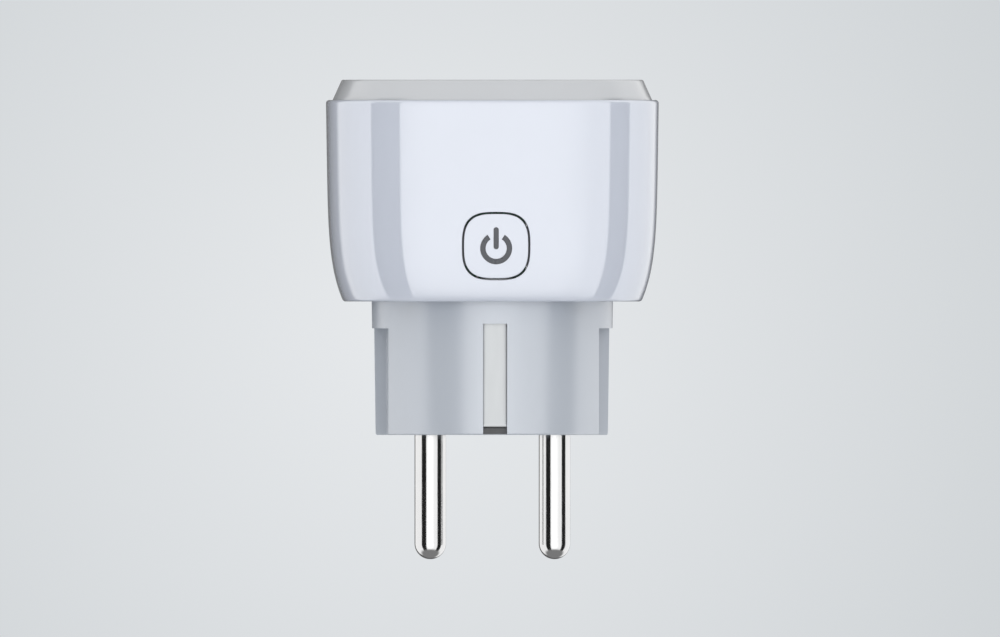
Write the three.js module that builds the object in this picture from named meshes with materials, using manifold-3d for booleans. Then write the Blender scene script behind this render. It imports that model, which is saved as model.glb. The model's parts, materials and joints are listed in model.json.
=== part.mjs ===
// Smart plug: a plug-in mains adapter. A round two-pin plug points down, a rounded-square body with
// a push button on its front sits on it, and a recessed socket opens upwards.
// Millimetres, +Z up. The origin is the centre of the plug's face, midway between the pins.
// The pins lie along X, and the button faces -Y.

import * as THREE from "three";
import { mergeVertices } from "three/addons/utils/BufferGeometryUtils.js";
import Module from "manifold-3d";

const wasm = await Module();
wasm.setup();

// ---------------------------------------------------------------- driving dimensions

const fit = 0.3; // clearance round a piece that passes through another
const seat = 0.1; // gap between two faces that rest on each other

const pin = { spacing: 19, radius: 2.4, length: 19 };
const pinFoot = { flangeRadius: 3.5, flange: 1.2, radius: 2, height: 3.1 };
const base = {
  height: 20.4,
  lowRadius: 18.15,
  highRadius: 18.45,
  wall: 2.4,
  floor: 3,
  edge: 0.3,
  flange: 1.4,
};
const groove = { height: 16.3, depth: 2.35, backLip: 2.9, wall: 1.5 };
const earthSlot = { width: 3.67, height: 17, depth: 2.25, wall: 1 };
const earthStrip = { width: 3.47, thickness: 0.8, lift: 1, pocket: 2.8, hook: 1.1, bend: 0.4, step: 0.7 };
const stripNotch = { depth: 2.2, height: 2.5, cover: 1.4 };
const stripFoot = { depth: 1.9, low: 0.14 };
const earthHole = { offset: 10, radius: 2.5, wall: 0.6, depth: 17, lip: 0.8 };
const room = 11.1; // height left for the electronics, between the base's flange and the recess floor
const body = { half: 25.36, taper: 0.45, tuck: 2.2, squareness: 3.55, wall: 2, floor: 2, edge: 0.4 };
const rim = { height: 3.1, ledge: 1.01, lean: 1.4, edge: 0.3, skirt: 2, wall: 2, deck: 2 };
const recess = { radius: 19.5, depth: 17.5, floor: 1.8, wall: 1.8, edge: 0.5 };
const rib = { inset: 2.5, width: 5.2, drop: 3 };
const clip = { width: 5, thickness: 0.9, standOff: 0.95, bulge: 1.6, bulgeLength: 11, drop: 2.6, foot: 2.4 };
const contact = { width: 4.2, thickness: 0.7, flare: 0.5, neck: 1.6 };
const shutter = {
  thickness: 1.1,
  cover: 0.3,
  overhang: 0.4,
  hub: 4.2,
  pivot: 2,
  play: 0.15,
  springRoom: 1.7,
};
const spring = { radius: 3, wire: 0.25, turns: 1.5, pitch: 0.6, leg: 4 };
const retainer = { radius: 13.9, thickness: 1.5, screwReach: 11.6, screwTurn: 120, boss: 1.9 };
const post = { radius: 3, stand: 0.35, bore: 1.55 };
const caseScrew = { headRadius: 2.3, head: 1.1, shank: 1.25, length: 11 };
const smallScrew = { headRadius: 1.7, head: 1.2, shank: 0.9, length: 4 };
const board = { thickness: 1.6, margin: 0.6 };
const button = { size: 9.83, gap: 0.335, squareness: 3, rise: 8.47, travel: 0.4 };
const symbol = { outer: 2.42, inner: 1.64, opening: 33, drop: 0.34, gap: 0.1 };
const symbolBar = { width: 0.75, top: 3.2, foot: 0.12 };
const guide = { plate: 0.5, half: 4.6, wing: 6.8, wingHeight: 6, play: 0.15 };
const tact = { size: 5.2, thickness: 1.1, plunger: 1, plungerLength: 0.8 };
const controlBoard = { thickness: 0.9, foot: 0.4 };
const relay = { length: 17.6, depth: 10.1, height: 12.3, wall: 0.8, base: 1, gapToContacts: 0.5 };
const capacitor = { radius: 3, height: 8.4, spacing: 10 };
const bulkCapacitor = { radius: 3.5, height: 12, x: 8.2, y: 8.4 };
const transformer = { width: 5.8, length: 11, height: 8.2, limb: 1.8 };
const filmCapacitor = { width: 8.6, depth: 5.6, height: 8.6 };
const backReach = 2.2; // how far the rear parts stand out past the middle of the rear earth clip
const varistor = { radius: 4.2, thickness: 3.8 };
const fuse = { radius: 1.5, length: 8, y: 8.5, cap: 1.8, glass: 1.32 };
const rectifier = { length: 6, width: 4.6, thickness: 1.8 };
const meteringChip = { length: 5, width: 4, thickness: 1.5 };
const chips = { x: 5, gapToContacts: 5.5 };
const shunt = { half: 2.6, foot: 1, rise: 1.6, lean: 0.4, thickness: 0.5, width: 3, y: 5.6, inset: 1 };

const roundSides = 40;
const smallSides = 20;
const roundSteps = 12; // flats along one curve of an extruded outline
const squircleSides = 48;

// ---------------------------------------------------------------- levels and places

const pinX = pin.spacing / 2;
const pinHole = pin.radius + fit;
const shutterHalf = pinHole + shutter.cover;
const shutterReach = pinX + shutterHalf + shutter.overhang;
const bodyLow = base.height;
const flangeLow = bodyLow + body.floor + seat;
const flangeTop = flangeLow + base.flange;
const ceiling = flangeTop + room; // underside of the recess floor
const recessFloor = ceiling + recess.floor;
const rimTop = recessFloor + recess.depth;
const bodyTop = rimTop - rim.height;
const bodyHeight = bodyTop - bodyLow;

const boardLow = flangeTop + seat;
const boardTop = boardLow + board.thickness;

const shutterTop = ceiling - fit;
const shutterLow = shutterTop - shutter.thickness;
const retainerTop = shutterLow - shutter.springRoom;
const retainerLow = retainerTop - retainer.thickness;
const contactTop = retainerLow - fit;
const contactLow = recessFloor - pin.length - seat - contact.thickness;

const grooveFloor = base.highRadius - groove.depth;
const slotFloor = base.highRadius - earthSlot.depth;
const cavity = {
  radius: base.lowRadius - base.wall,
  x: grooveFloor - groove.wall,
  y: slotFloor - earthSlot.wall,
};
const outerStripY = slotFloor + seat + earthStrip.thickness / 2;
const innerStripY = cavity.y - 2 * seat - earthStrip.thickness / 2;
const clipY = recess.radius - clip.standOff;
const clipFootZ = retainerLow + clip.thickness / 2 - fit;
const crossbarTop = clipFootZ - clip.thickness / 2 - 0.5 * fit;

const pinFlangeTop = base.floor + seat + pinFoot.flange;
const pinRootTop = pinFlangeTop + pinFoot.height;
const postXY = (recess.radius + recess.wall + post.stand) / Math.SQRT2;

const rimLowHalf = body.half - rim.ledge;
const rimHighHalf = rimLowHalf - rim.lean;

// Half of the body's width at a height: a slight taper, and a tuck that grows fast near the bottom.
function bodyHalf(z) {
  const down = (bodyTop - z) / bodyHeight;
  return body.half - body.taper * down - body.tuck * down ** 6;
}

const flangeHalf = bodyHalf(flangeLow) - body.wall - fit;
const buttonZ = bodyLow + button.rise;
const buttonFace = -bodyHalf(buttonZ);
const capBack = buttonFace + body.wall - seat;
const guideFront = capBack + seat;
const guideBack = guideFront + guide.plate;
const tactFront = guideBack + button.travel + guide.play;
const tactBack = tactFront + tact.thickness;
const controlFront = tactBack + seat;
const controlBack = controlFront + controlBoard.thickness;

// ---------------------------------------------------------------- shape helpers

// Turns a closed three.js geometry into a solid that can be joined and cut.
function solid(geometry) {
  const bare = geometry.index ? geometry.toNonIndexed() : geometry.clone();
  bare.deleteAttribute("normal");
  bare.deleteAttribute("uv");
  const merged = mergeVertices(bare, 1e-4);
  const corners = merged.index.array;
  const kept = [];
  for (let i = 0; i < corners.length; i += 3) {
    const [a, b, c] = [corners[i], corners[i + 1], corners[i + 2]];
    if (a !== b && b !== c && c !== a) {
      kept.push(a, b, c);
    }
  }
  return new wasm.Manifold(new wasm.Mesh({
    numProp: 3,
    vertProperties: new Float32Array(merged.attributes.position.array),
    triVerts: new Uint32Array(kept),
  }));
}

function join(...shapes) {
  return shapes.reduce((whole, shape) => whole.add(shape));
}

function cut(shape, ...tools) {
  return tools.reduce((rest, tool) => rest.subtract(tool), shape);
}

// A box centred on x and y, standing on z.
function box(width, depth, height, x = 0, y = 0, z = 0) {
  return solid(new THREE.BoxGeometry(width, depth, height).translate(x, y, z + height / 2));
}

// An upright cylinder or cone, standing on z.
function column(radius, height, x = 0, y = 0, z = 0, sides = smallSides, topRadius = radius) {
  const geometry = new THREE.CylinderGeometry(topRadius, radius, height, sides);
  return solid(geometry.rotateX(Math.PI / 2).translate(x, y, z + height / 2));
}

// A turned piece: the profile's points are [radius, height], from the bottom up.
function turned(profile, sides = roundSides) {
  const points = profile.map(([radius, height]) => new THREE.Vector2(radius, height));
  return solid(new THREE.LatheGeometry(points, sides).rotateX(Math.PI / 2));
}

// An outline in x and z, extruded along Y between two planes.
function prismY(shape, low, high, curveSegments = roundSteps) {
  const options = { depth: high - low, bevelEnabled: false, curveSegments };
  const geometry = new THREE.ExtrudeGeometry(shape, options);
  const [x, y, z] = [new THREE.Vector3(1, 0, 0), new THREE.Vector3(0, -1, 0), new THREE.Vector3(0, 0, 1)];
  return solid(geometry.applyMatrix4(new THREE.Matrix4().makeBasis(x, z, y)).translate(0, high, 0));
}

// An outline in y and z, extruded along X and centred on x.
function prismX(shape, width, x = 0) {
  const options = { depth: width, bevelEnabled: false, curveSegments: roundSteps };
  const geometry = new THREE.ExtrudeGeometry(shape, options);
  const right = new THREE.Vector3(1, 0, 0);
  const back = new THREE.Vector3(0, 1, 0);
  const up = new THREE.Vector3(0, 0, 1);
  const turn = new THREE.Matrix4().makeBasis(back, up, right);
  return solid(geometry.applyMatrix4(turn).translate(x - width / 2, 0, 0));
}

// The side view of a bent strip: its centre line's points, thickened, with mitred bends.
function ribbon(points, thickness) {
  const line = points.map(([u, v]) => new THREE.Vector2(u, v));
  const offset = (side) => line.map((point, i) => {
    const before = point.clone().sub(line[Math.max(i - 1, 0)]).normalize();
    const after = line[Math.min(i + 1, line.length - 1)].clone().sub(point).normalize();
    const along = before.clone().add(after).normalize();
    const normal = new THREE.Vector2(-along.y, along.x);
    const ends = i === 0 || i === line.length - 1;
    const stretch = ends ? 1 : 1 / Math.abs(along.dot(before));
    return point.clone().addScaledVector(normal, (side * stretch * thickness) / 2);
  });
  return new THREE.Shape([...offset(1), ...offset(-1).reverse()]);
}

// How far a superellipse of half-width 1 reaches at an angle.
function superReach(angle, squareness) {
  const [across, along] = [Math.abs(Math.cos(angle)), Math.abs(Math.sin(angle))];
  return 1 / (across ** squareness + along ** squareness) ** (1 / squareness);
}

// A rounded-square column whose half-width follows halfAt(z) at each of the given heights.
function squircleColumn(halfAt, heights) {
  const rings = heights.length - 1;
  const geometry = new THREE.CylinderGeometry(1, 1, 1, squircleSides, rings).rotateX(Math.PI / 2);
  const place = geometry.attributes.position;
  for (let i = 0; i < place.count; i += 1) {
    const [x, y] = [place.getX(i), place.getY(i)];
    const z = heights[Math.round((place.getZ(i) + 0.5) * rings)];
    const reach = Math.hypot(x, y) * halfAt(z) * superReach(Math.atan2(y, x), body.squareness);
    const angle = Math.atan2(y, x);
    place.setXYZ(i, reach * Math.cos(angle), reach * Math.sin(angle), z);
  }
  return solid(geometry);
}

// The button's rounded-square outline in x and z.
function buttonOutline(size) {
  const points = [];
  for (let i = 0; i < roundSides; i += 1) {
    const angle = (2 * Math.PI * i) / roundSides;
    const reach = (size / 2) * superReach(angle, button.squareness);
    points.push(new THREE.Vector2(reach * Math.cos(angle), buttonZ + reach * Math.sin(angle)));
  }
  return new THREE.Shape(points);
}

// The power symbol, grown by a margin: an open ring, and an upright bar with round ends.
function symbolPrism(grow, low, high) {
  const centre = buttonZ - symbol.drop;
  const middle = (symbol.outer + symbol.inner) / 2;
  const half = THREE.MathUtils.degToRad(symbol.opening) - grow / middle;
  const [start, end] = [Math.PI / 2 + half, Math.PI / 2 - half + 2 * Math.PI];
  const ring = new THREE.Shape();
  ring.absarc(0, centre, symbol.outer + grow, start, end, false);
  ring.absarc(0, centre, symbol.inner - grow, end, start, true);
  const radius = symbolBar.width / 2 + grow;
  const bar = new THREE.Shape();
  bar.absarc(0, centre + symbolBar.top - symbolBar.width / 2, radius, 0, Math.PI, false);
  bar.absarc(0, centre - symbolBar.foot + symbolBar.width / 2, radius, Math.PI, 2 * Math.PI, false);
  return join(prismY(ring, low, high, 24), prismY(bar, low, high, 6));
}

// The four mirrored places at plus and minus x and y.
function corners(x, y) {
  return [[x, y], [-x, y], [-x, -y], [x, -y]];
}

function finish(color, roughness, metalness = 0) {
  return new THREE.MeshStandardMaterial({ color, roughness, metalness, flatShading: true });
}

const looks = {
  gloss: finish(0xe9ecf2, 0.22),
  matte: finish(0xd2d3d7, 0.45),
  symbol: finish(0x5f6166, 0.4),
  chrome: finish(0xe6e8ea, 0.08, 1),
  steel: finish(0xb9bdc2, 0.3, 1),
  copper: finish(0xc98d62, 0.3, 1),
  brass: finish(0xcfae62, 0.3, 1),
  carrier: finish(0xe8e4d8, 0.6),
  board: finish(0x1f6a45, 0.5),
  black: finish(0x232428, 0.5),
  blue: finish(0x2a5fa8, 0.45),
  yellow: finish(0xd9b84a, 0.5),
  ferrite: finish(0x3a3b3e, 0.6),
  tape: finish(0xe6c84d, 0.45),
  led: finish(0xf2f2ea, 0.3),
};

const smartPlug = new THREE.Group();
smartPlug.name = "smart_plug";

const quarter = Math.PI / 2;

// Adds one named piece to the assembly, at its place [x, y, z] and turned by [x, y, z].
function piece(name, shape, material, place = [0, 0, 0], turn = [0, 0, 0]) {
  const { vertProperties, triVerts } = shape.getMesh();
  const geometry = new THREE.BufferGeometry();
  geometry.setAttribute("position", new THREE.BufferAttribute(vertProperties, 3));
  geometry.setIndex(new THREE.BufferAttribute(triVerts, 1));
  geometry.computeVertexNormals();
  const mesh = new THREE.Mesh(geometry, material);
  mesh.name = name;
  mesh.position.set(...place);
  mesh.rotation.set(...turn);
  smartPlug.add(mesh);
}

// ---------------------------------------------------------------- body shell

// The body's outside, drawn in by a margin. Its heights bunch towards the tucked-in bottom.
function bodyColumn(inset, low, high, edge, steps) {
  const heights = [];
  for (let i = 0; i <= steps; i += 1) {
    heights.push(low + (high - edge - low) * (i / steps) ** 1.6);
  }
  const half = (z) => bodyHalf(z) - inset;
  if (edge === 0) {
    return squircleColumn(half, heights);
  }
  heights.push(high);
  return squircleColumn((z) => (z === high ? half(z) - edge : half(z)), heights);
}

const bodyOutside = bodyColumn(0, bodyLow, bodyTop, body.edge, 8);

function bodyShell() {
  const rebateLow = bodyTop - rim.skirt - fit;
  const pocketFront = guideFront - fit;
  const inside = bodyColumn(body.wall, bodyLow + body.floor, rebateLow + fit, 0, 4);
  const rebate = squircleColumn(() => rimLowHalf + fit, [rebateLow, bodyTop + 1]);
  const plugHole = column(base.highRadius + fit, body.floor * 3, 0, 0, bodyLow - body.floor, roundSides);
  const buttonHole = prismY(buttonOutline(button.size + 2 * button.gap), buttonFace - 1, capBack + 1);
  const wingDepth = -pocketFront - guide.wing;
  const pocketWidth = 2 * (guide.wing + fit);
  const pocketHeight = guide.wingHeight + 2 * fit;
  const pocketY = pocketFront + wingDepth / 2;
  const pocket = box(pocketWidth, wingDepth, pocketHeight, 0, pocketY, buttonZ - pocketHeight / 2);
  const screwHoles = corners(postXY, postXY).flatMap(([x, y]) => [
    column(caseScrew.headRadius + fit, caseScrew.head + 2 * seat + 1, x, y, bodyLow - 1),
    column(caseScrew.shank + fit, body.floor * 2, x, y, bodyLow),
  ]);
  return cut(bodyOutside, inside, rebate, plugHole, buttonHole, pocket, ...screwHoles);
}

piece("body_shell", bodyShell(), looks.gloss);

// ---------------------------------------------------------------- socket insert

function socketInsert() {
  const skirtLow = bodyTop - rim.skirt;
  const half = (z) => {
    if (z <= bodyTop) {
      return rimLowHalf;
    }
    const lean = rimLowHalf - (rim.lean * (z - bodyTop)) / rim.height;
    return z === rimTop ? rimHighHalf - rim.edge : lean;
  };
  const outside = squircleColumn(half, [skirtLow, bodyTop, rimTop - rim.edge, rimTop]);
  const under = squircleColumn(() => rimHighHalf - rim.wall, [skirtLow - 1, rimTop - rim.deck]);
  const cup = column(recess.radius + recess.wall, rimTop - seat - ceiling, 0, 0, ceiling, roundSides);
  const posts = corners(postXY, postXY).map(([x, y]) => (
    column(post.radius, rimTop - rim.deck / 2 - boardLow, x, y, boardLow)));
  const hollow = turned([
    [0, recessFloor],
    [recess.radius, recessFloor],
    [recess.radius, rimTop - recess.edge],
    [recess.radius + recess.edge, rimTop],
    [recess.radius + recess.edge, rimTop + 1],
    [0, rimTop + 1],
  ]);
  const ribDepth = rib.inset + recess.wall / 2;
  const ribs = [1, -1].map((side) => box(ribDepth, rib.width, recess.depth - rib.drop,
    side * (recess.radius - rib.inset + ribDepth / 2), 0, recessFloor - seat));
  const pivot = column(shutter.pivot, ceiling - retainerTop, 0, 0, retainerTop + seat);
  const bosses = retainerScrewPlaces().map(([x, y]) => (
    column(retainer.boss, ceiling - retainerTop, x, y, retainerTop + seat)));
  const pinHoles = [pinX, -pinX].map((x) => column(pinHole, recess.floor * 3, x, 0, ceiling - recess.floor));
  const clipSlots = [clipY, -clipY].map((y) => box(clip.width + 2 * fit, clip.thickness + 2 * fit,
    recess.floor * 3, 0, y, ceiling - recess.floor));
  const postBores = corners(postXY, postXY).map(([x, y]) => (
    column(post.bore, caseScrew.length + fit, x, y, boardLow - 1)));
  const bossBores = retainerScrewPlaces().map(([x, y]) => (
    column(smallScrew.shank + fit, smallScrew.length - retainer.thickness + fit, x, y, retainerTop)));
  const shell = cut(join(cut(outside, under), cup, ...posts), hollow);
  return cut(join(shell, ...ribs, pivot, ...bosses), ...pinHoles, ...clipSlots, ...postBores, ...bossBores);
}

// The two retainer screws lie opposite each other, beside the shutter's sweep.
function retainerScrewPlaces() {
  const turn = THREE.MathUtils.degToRad(retainer.screwTurn);
  const [x, y] = [retainer.screwReach * Math.cos(turn), retainer.screwReach * Math.sin(turn)];
  return [[x, y], [-x, -y]];
}

piece("socket_insert", socketInsert(), looks.matte);

// ---------------------------------------------------------------- plug base

function plugBase() {
  const radiusAt = (z) => base.lowRadius + ((base.highRadius - base.lowRadius) * z) / base.height;
  const tube = turned([
    [0, 0],
    [base.lowRadius - base.edge, 0],
    [base.lowRadius, base.edge],
    [radiusAt(base.height), base.height],
    [radiusAt(base.height), flangeLow + seat],
    [0, flangeLow + seat],
  ]);
  const flange = squircleColumn(() => flangeHalf, [flangeLow, flangeTop]);
  const bore = column(cavity.radius, flangeTop, 0, 0, base.floor, roundSides);
  const room = box(2 * cavity.x, 2 * cavity.y, flangeTop, 0, 0, base.floor);
  const pinHoles = [pinX, -pinX].map((x) => column(pinHole, base.floor + 2, x, 0, -1));
  const deep = 2 * base.highRadius;
  const slots = [1, -1].flatMap((side) => {
    const insideWidth = earthStrip.width + 2 * fit;
    const throughWall = slotFloor - cavity.y + stripNotch.cover;
    const pocketY = side * (cavity.y + throughWall / 2 - seat);
    const notchY = side * (slotFloor - stripNotch.depth + deep / 2);
    return [
      box(earthSlot.width, deep, earthSlot.height + 1, 0, side * (slotFloor + deep / 2), -1),
      box(earthSlot.width, deep, stripNotch.height + 1, 0, notchY, -1),
      box(insideWidth, throughWall, earthStrip.pocket, 0, pocketY, earthSlot.height - seat),
    ];
  });
  const grooves = [1, -1].map((side) => {
    const length = groove.backLip + base.highRadius;
    return box(groove.depth * 2, length, groove.height + 1,
      side * (grooveFloor + groove.depth), groove.backLip - length / 2, -1);
  });
  const sleeveHole = join(
    column(earthHole.radius + seat, earthHole.lip + 2, 0, earthHole.offset, -1),
    column(earthHole.radius + earthHole.wall + fit, base.floor, 0, earthHole.offset, earthHole.lip));
  const screwHoles = corners(postXY, postXY).map(([x, y]) => (
    column(caseScrew.shank + fit, base.flange * 3, x, y, flangeLow - base.flange)));
  const hollows = [bore.intersect(room), sleeveHole, ...pinHoles, ...slots, ...grooves, ...screwHoles];
  return cut(join(tube, flange), ...hollows);
}

piece("plug_base", plugBase(), looks.gloss);

// ---------------------------------------------------------------- pins and their wiring

// One pin, with its round tip down and its shoulder flange inside the base.
function plugPin() {
  const tip = [];
  const steps = 5;
  for (let i = 0; i <= steps; i += 1) {
    const angle = (Math.PI / 2) * (i / steps);
    tip.push([pin.radius * Math.sin(angle), -pin.length + pin.radius * (1 - Math.cos(angle))]);
  }
  return turned([
    ...tip,
    [pin.radius, base.floor + seat],
    [pinFoot.flangeRadius, base.floor + seat],
    [pinFoot.flangeRadius, pinFlangeTop],
    [pinFoot.radius, pinFlangeTop],
    [pinFoot.radius, pinRootTop],
    [0, pinRootTop],
  ], 24);
}

piece("live_pin", plugPin(), looks.chrome, [-pinX, 0, 0]);
piece("neutral_pin", plugPin(), looks.chrome, [pinX, 0, 0]);

function pinClamp() {
  const height = pinFoot.height - 8 * seat;
  const bar = box(2 * (cavity.x - fit), 2 * pinFoot.flangeRadius, height, 0, 0, pinFlangeTop + seat);
  const holes = [pinX, -pinX].map((x) => column(pinFoot.radius + fit, pinFoot.height * 2, x, 0, base.floor));
  return cut(bar, ...holes);
}

piece("pin_clamp", pinClamp(), looks.carrier);

// A flat bar from a pin's root, out and up to the underside of the power board.
const busbarThickness = 0.8;

function pinBusbar(side) {
  const foot = pinRootTop + seat + busbarThickness / 2;
  const out = cavity.x - 2 * seat - busbarThickness / 2;
  const line = [[side * (pinX - pinFoot.radius), foot], [side * out, foot], [side * out, boardLow - seat]];
  return prismY(ribbon(line, busbarThickness), -pinFoot.radius, pinFoot.radius);
}

piece("live_busbar", pinBusbar(-1), looks.copper);
piece("neutral_busbar", pinBusbar(1), looks.copper);

// ---------------------------------------------------------------- earth path

// The plug's earth strip: it hooks in under its slot, runs up it, and steps inside above it.
function plugEarthStrip(side) {
  const hookZ = earthStrip.lift + earthStrip.thickness / 2;
  const stepZ = earthSlot.height + earthStrip.thickness + fit;
  const line = [
    [side * (outerStripY - earthStrip.hook), hookZ],
    [side * (outerStripY - earthStrip.bend), hookZ],
    [side * outerStripY, hookZ + earthStrip.bend],
    [side * outerStripY, stepZ],
    [side * innerStripY, stepZ + earthStrip.step],
    [side * innerStripY, crossbarTop - clip.thickness - fit],
  ];
  return prismX(ribbon(line, earthStrip.thickness), earthStrip.width);
}

piece("plug_earth_strip_front", plugEarthStrip(-1), looks.steel);
piece("plug_earth_strip_back", plugEarthStrip(1), looks.steel);

// The dark foot that closes the slot under a strip's hook.
function plugStripFoot(side) {
  const height = earthStrip.lift - seat / 2 - stripFoot.low;
  const middle = side * (outerStripY + earthStrip.thickness / 2 - stripFoot.depth / 2);
  return box(earthStrip.width, stripFoot.depth, height, 0, middle, stripFoot.low);
}

piece("strip_foot_front", plugStripFoot(-1), looks.black);
piece("strip_foot_back", plugStripFoot(1), looks.black);

// The tube that takes the wall socket's earth pin, where the socket has one.
function earthSleeve() {
  const outer = earthHole.radius + earthHole.wall;
  const low = earthHole.lip + seat;
  return turned([
    [earthHole.radius, low],
    [outer, low],
    [outer, earthHole.depth],
    [earthHole.radius, earthHole.depth],
    [earthHole.radius, low],
  ], 24);
}

piece("earth_pin_sleeve", earthSleeve(), looks.brass, [0, earthHole.offset, 0]);

function earthSleeveLug() {
  const from = earthHole.offset - earthHole.radius - earthHole.wall;
  const to = innerStripY - earthStrip.thickness / 2 - fit;
  return box(earthStrip.width, to - from, earthStrip.thickness, 0, (from + to) / 2, earthHole.depth + seat);
}

piece("earth_sleeve_lug", earthSleeveLug(), looks.brass);

// One of the socket's two earth clips: a foot on the crossbar, and a leaf that bows inwards.
function socketEarthClip(side) {
  const top = rimTop - clip.drop;
  const bulgeLow = top - clip.bulgeLength;
  const line = [
    [side * (clipY - clip.foot), clipFootZ],
    [side * clipY, clipFootZ],
    [side * clipY, bulgeLow],
  ];
  const steps = 8;
  for (let i = 1; i <= steps; i += 1) {
    const bow = clip.bulge * Math.sin((Math.PI * i) / steps) ** 2;
    line.push([side * (clipY - bow), bulgeLow + (clip.bulgeLength * i) / steps]);
  }
  return prismX(ribbon(line, clip.thickness), clip.width);
}

piece("socket_earth_clip_front", socketEarthClip(-1), looks.steel);
piece("socket_earth_clip_back", socketEarthClip(1), looks.steel);

const crossbar = box(clip.width, 2 * clipY, clip.thickness, 0, 0, crossbarTop - clip.thickness);
piece("earth_crossbar", crossbar, looks.steel);

// ---------------------------------------------------------------- socket contacts

// A two-leaf contact: a web under the pin's tip, and leaves that neck in and flare at the mouth.
function socketContact() {
  const leaf = pin.radius + contact.thickness;
  const web = contactLow + contact.thickness / 2;
  const grip = pin.radius + contact.thickness / 2;
  const half = [[leaf, web], [leaf, contactTop - 3 * contact.neck], [grip, contactTop - contact.neck]];
  const mouth = [grip + contact.flare, contactTop];
  const mirrored = [mouth, half[2], half[1], half[0]].map(([x, z]) => [-x, z]);
  const leafStrip = ribbon([...mirrored, ...half, mouth], contact.thickness);
  return prismY(leafStrip, -contact.width / 2, contact.width / 2);
}

piece("live_contact", socketContact(), looks.copper, [-pinX, 0, 0]);
piece("neutral_contact", socketContact(), looks.copper, [pinX, 0, 0]);

// ---------------------------------------------------------------- child-safety shutter

function shutterBlade() {
  const bar = box(2 * shutterReach, 2 * shutterHalf, shutter.thickness, 0, 0, shutterLow);
  const round = column(shutterReach, shutter.thickness, 0, 0, shutterLow, roundSides);
  const hub = column(shutter.hub, shutter.thickness, 0, 0, shutterLow, smallSides);
  const boreLow = shutterLow - shutter.thickness;
  const bore = column(shutter.pivot + shutter.play, shutter.thickness * 3, 0, 0, boreLow);
  return cut(join(bar.intersect(round), hub), bore);
}

piece("shutter", shutterBlade(), looks.carrier);

function shutterRetainer() {
  const disc = column(retainer.radius, retainer.thickness, 0, 0, retainerLow, roundSides);
  const reach = retainer.thickness * 3;
  const low = retainerLow - retainer.thickness;
  const pinHoles = [pinX, -pinX].map((x) => column(pin.radius + 2 * fit, reach, x, 0, low));
  const screwHoles = retainerScrewPlaces().map(([x, y]) => column(smallScrew.shank + fit, reach, x, y, low));
  return cut(disc, ...pinHoles, ...screwHoles);
}

piece("shutter_retainer", shutterRetainer(), looks.carrier);

// The shutter's return spring: a wire coil round the pivot, with a straight leg at each end.
function shutterSpring() {
  const middle = (shutterLow + retainerTop) / 2;
  const steps = 24;
  const points = [];
  for (let i = 0; i <= steps; i += 1) {
    const turn = (i / steps - 0.5) * spring.turns;
    const angle = 2 * Math.PI * turn;
    const z = middle + spring.pitch * turn;
    points.push(new THREE.Vector3(spring.radius * Math.cos(angle), spring.radius * Math.sin(angle), z));
  }
  const leg = (end, next) => end.clone().add(end.clone().sub(next).setZ(0).setLength(spring.leg));
  const [first, last] = [leg(points[0], points[1]), leg(points[steps], points[steps - 1])];
  const path = new THREE.CatmullRomCurve3([first, ...points, last]);
  const wire = new THREE.Shape().absarc(0, 0, spring.wire, 0, 2 * Math.PI, false);
  const options = { steps: roundSides, curveSegments: 2, bevelEnabled: false, extrudePath: path };
  return solid(new THREE.ExtrudeGeometry(wire, options));
}

piece("shutter_spring", shutterSpring(), looks.steel);

// ---------------------------------------------------------------- screws

// A pan-head cross-recess screw, head down, with the underside of its head at z = 0.
function screw({ headRadius, head, shank, length }) {
  const whole = turned([
    [0, -head],
    [headRadius * 0.8, -head],
    [headRadius, -head * 0.6],
    [headRadius, 0],
    [shank, 0],
    [shank, length - shank],
    [0, length],
  ], smallSides);
  const across = headRadius * 1.1;
  const blade = headRadius * 0.24;
  const depth = head * 0.6;
  const low = -head - depth;
  return cut(whole, box(across, blade, depth * 2, 0, 0, low), box(blade, across, depth * 2, 0, 0, low));
}

corners(postXY, postXY).forEach(([x, y], i) => {
  piece(`case_screw_${i + 1}`, screw(caseScrew), looks.steel, [x, y, bodyLow + caseScrew.head + seat]);
});
retainerScrewPlaces().forEach(([x, y], i) => {
  piece(`shutter_screw_${i + 1}`, screw(smallScrew), looks.steel, [x, y, retainerLow - seat]);
});

// ---------------------------------------------------------------- power board and what it carries

const boardHalf = flangeHalf - board.margin;
const boardFront = controlBack + fit;

function powerBoard() {
  const whole = squircleColumn(() => boardHalf, [boardLow, boardTop]);
  const reach = board.thickness * 3;
  const low = boardLow - board.thickness;
  const front = box(3 * boardHalf, 2 * boardHalf, reach, 0, boardFront - boardHalf, low);
  const notches = corners(postXY, postXY).map(([x, y]) => column(post.radius + fit, reach, x, y, low));
  const contactHoles = [pinX, -pinX].map((x) => (
    box(2 * (pin.radius + 1.5 * contact.thickness + fit), contact.width + 2 * fit, reach, x, 0, low)));
  const stripHoles = [innerStripY, -innerStripY].map((y) => (
    box(earthStrip.width + 2 * fit, earthStrip.thickness + 2 * fit, reach, 0, y, low)));
  return cut(whole, front, ...notches, ...contactHoles, ...stripHoles);
}

piece("power_board", powerBoard(), looks.board);

// The relay hangs under the board, in front of the contacts: a case open at the board's side.
const relayY = -(contact.width / 2 + relay.gapToContacts + relay.depth / 2);
const relayBaseLow = boardLow - seat - relay.base;
const relayLow = boardLow - seat - relay.height;

function relayCase() {
  const height = relayBaseLow - seat - relayLow;
  const room = box(relay.length - 2 * relay.wall, relay.depth - 2 * relay.wall, height, 0, 0, relay.wall);
  return cut(box(relay.length, relay.depth, height), room);
}

piece("relay_case", relayCase(), looks.black, [0, relayY, relayLow]);
piece("relay_base", box(relay.length, relay.depth, relay.base), looks.black, [0, relayY, relayBaseLow]);

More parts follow.
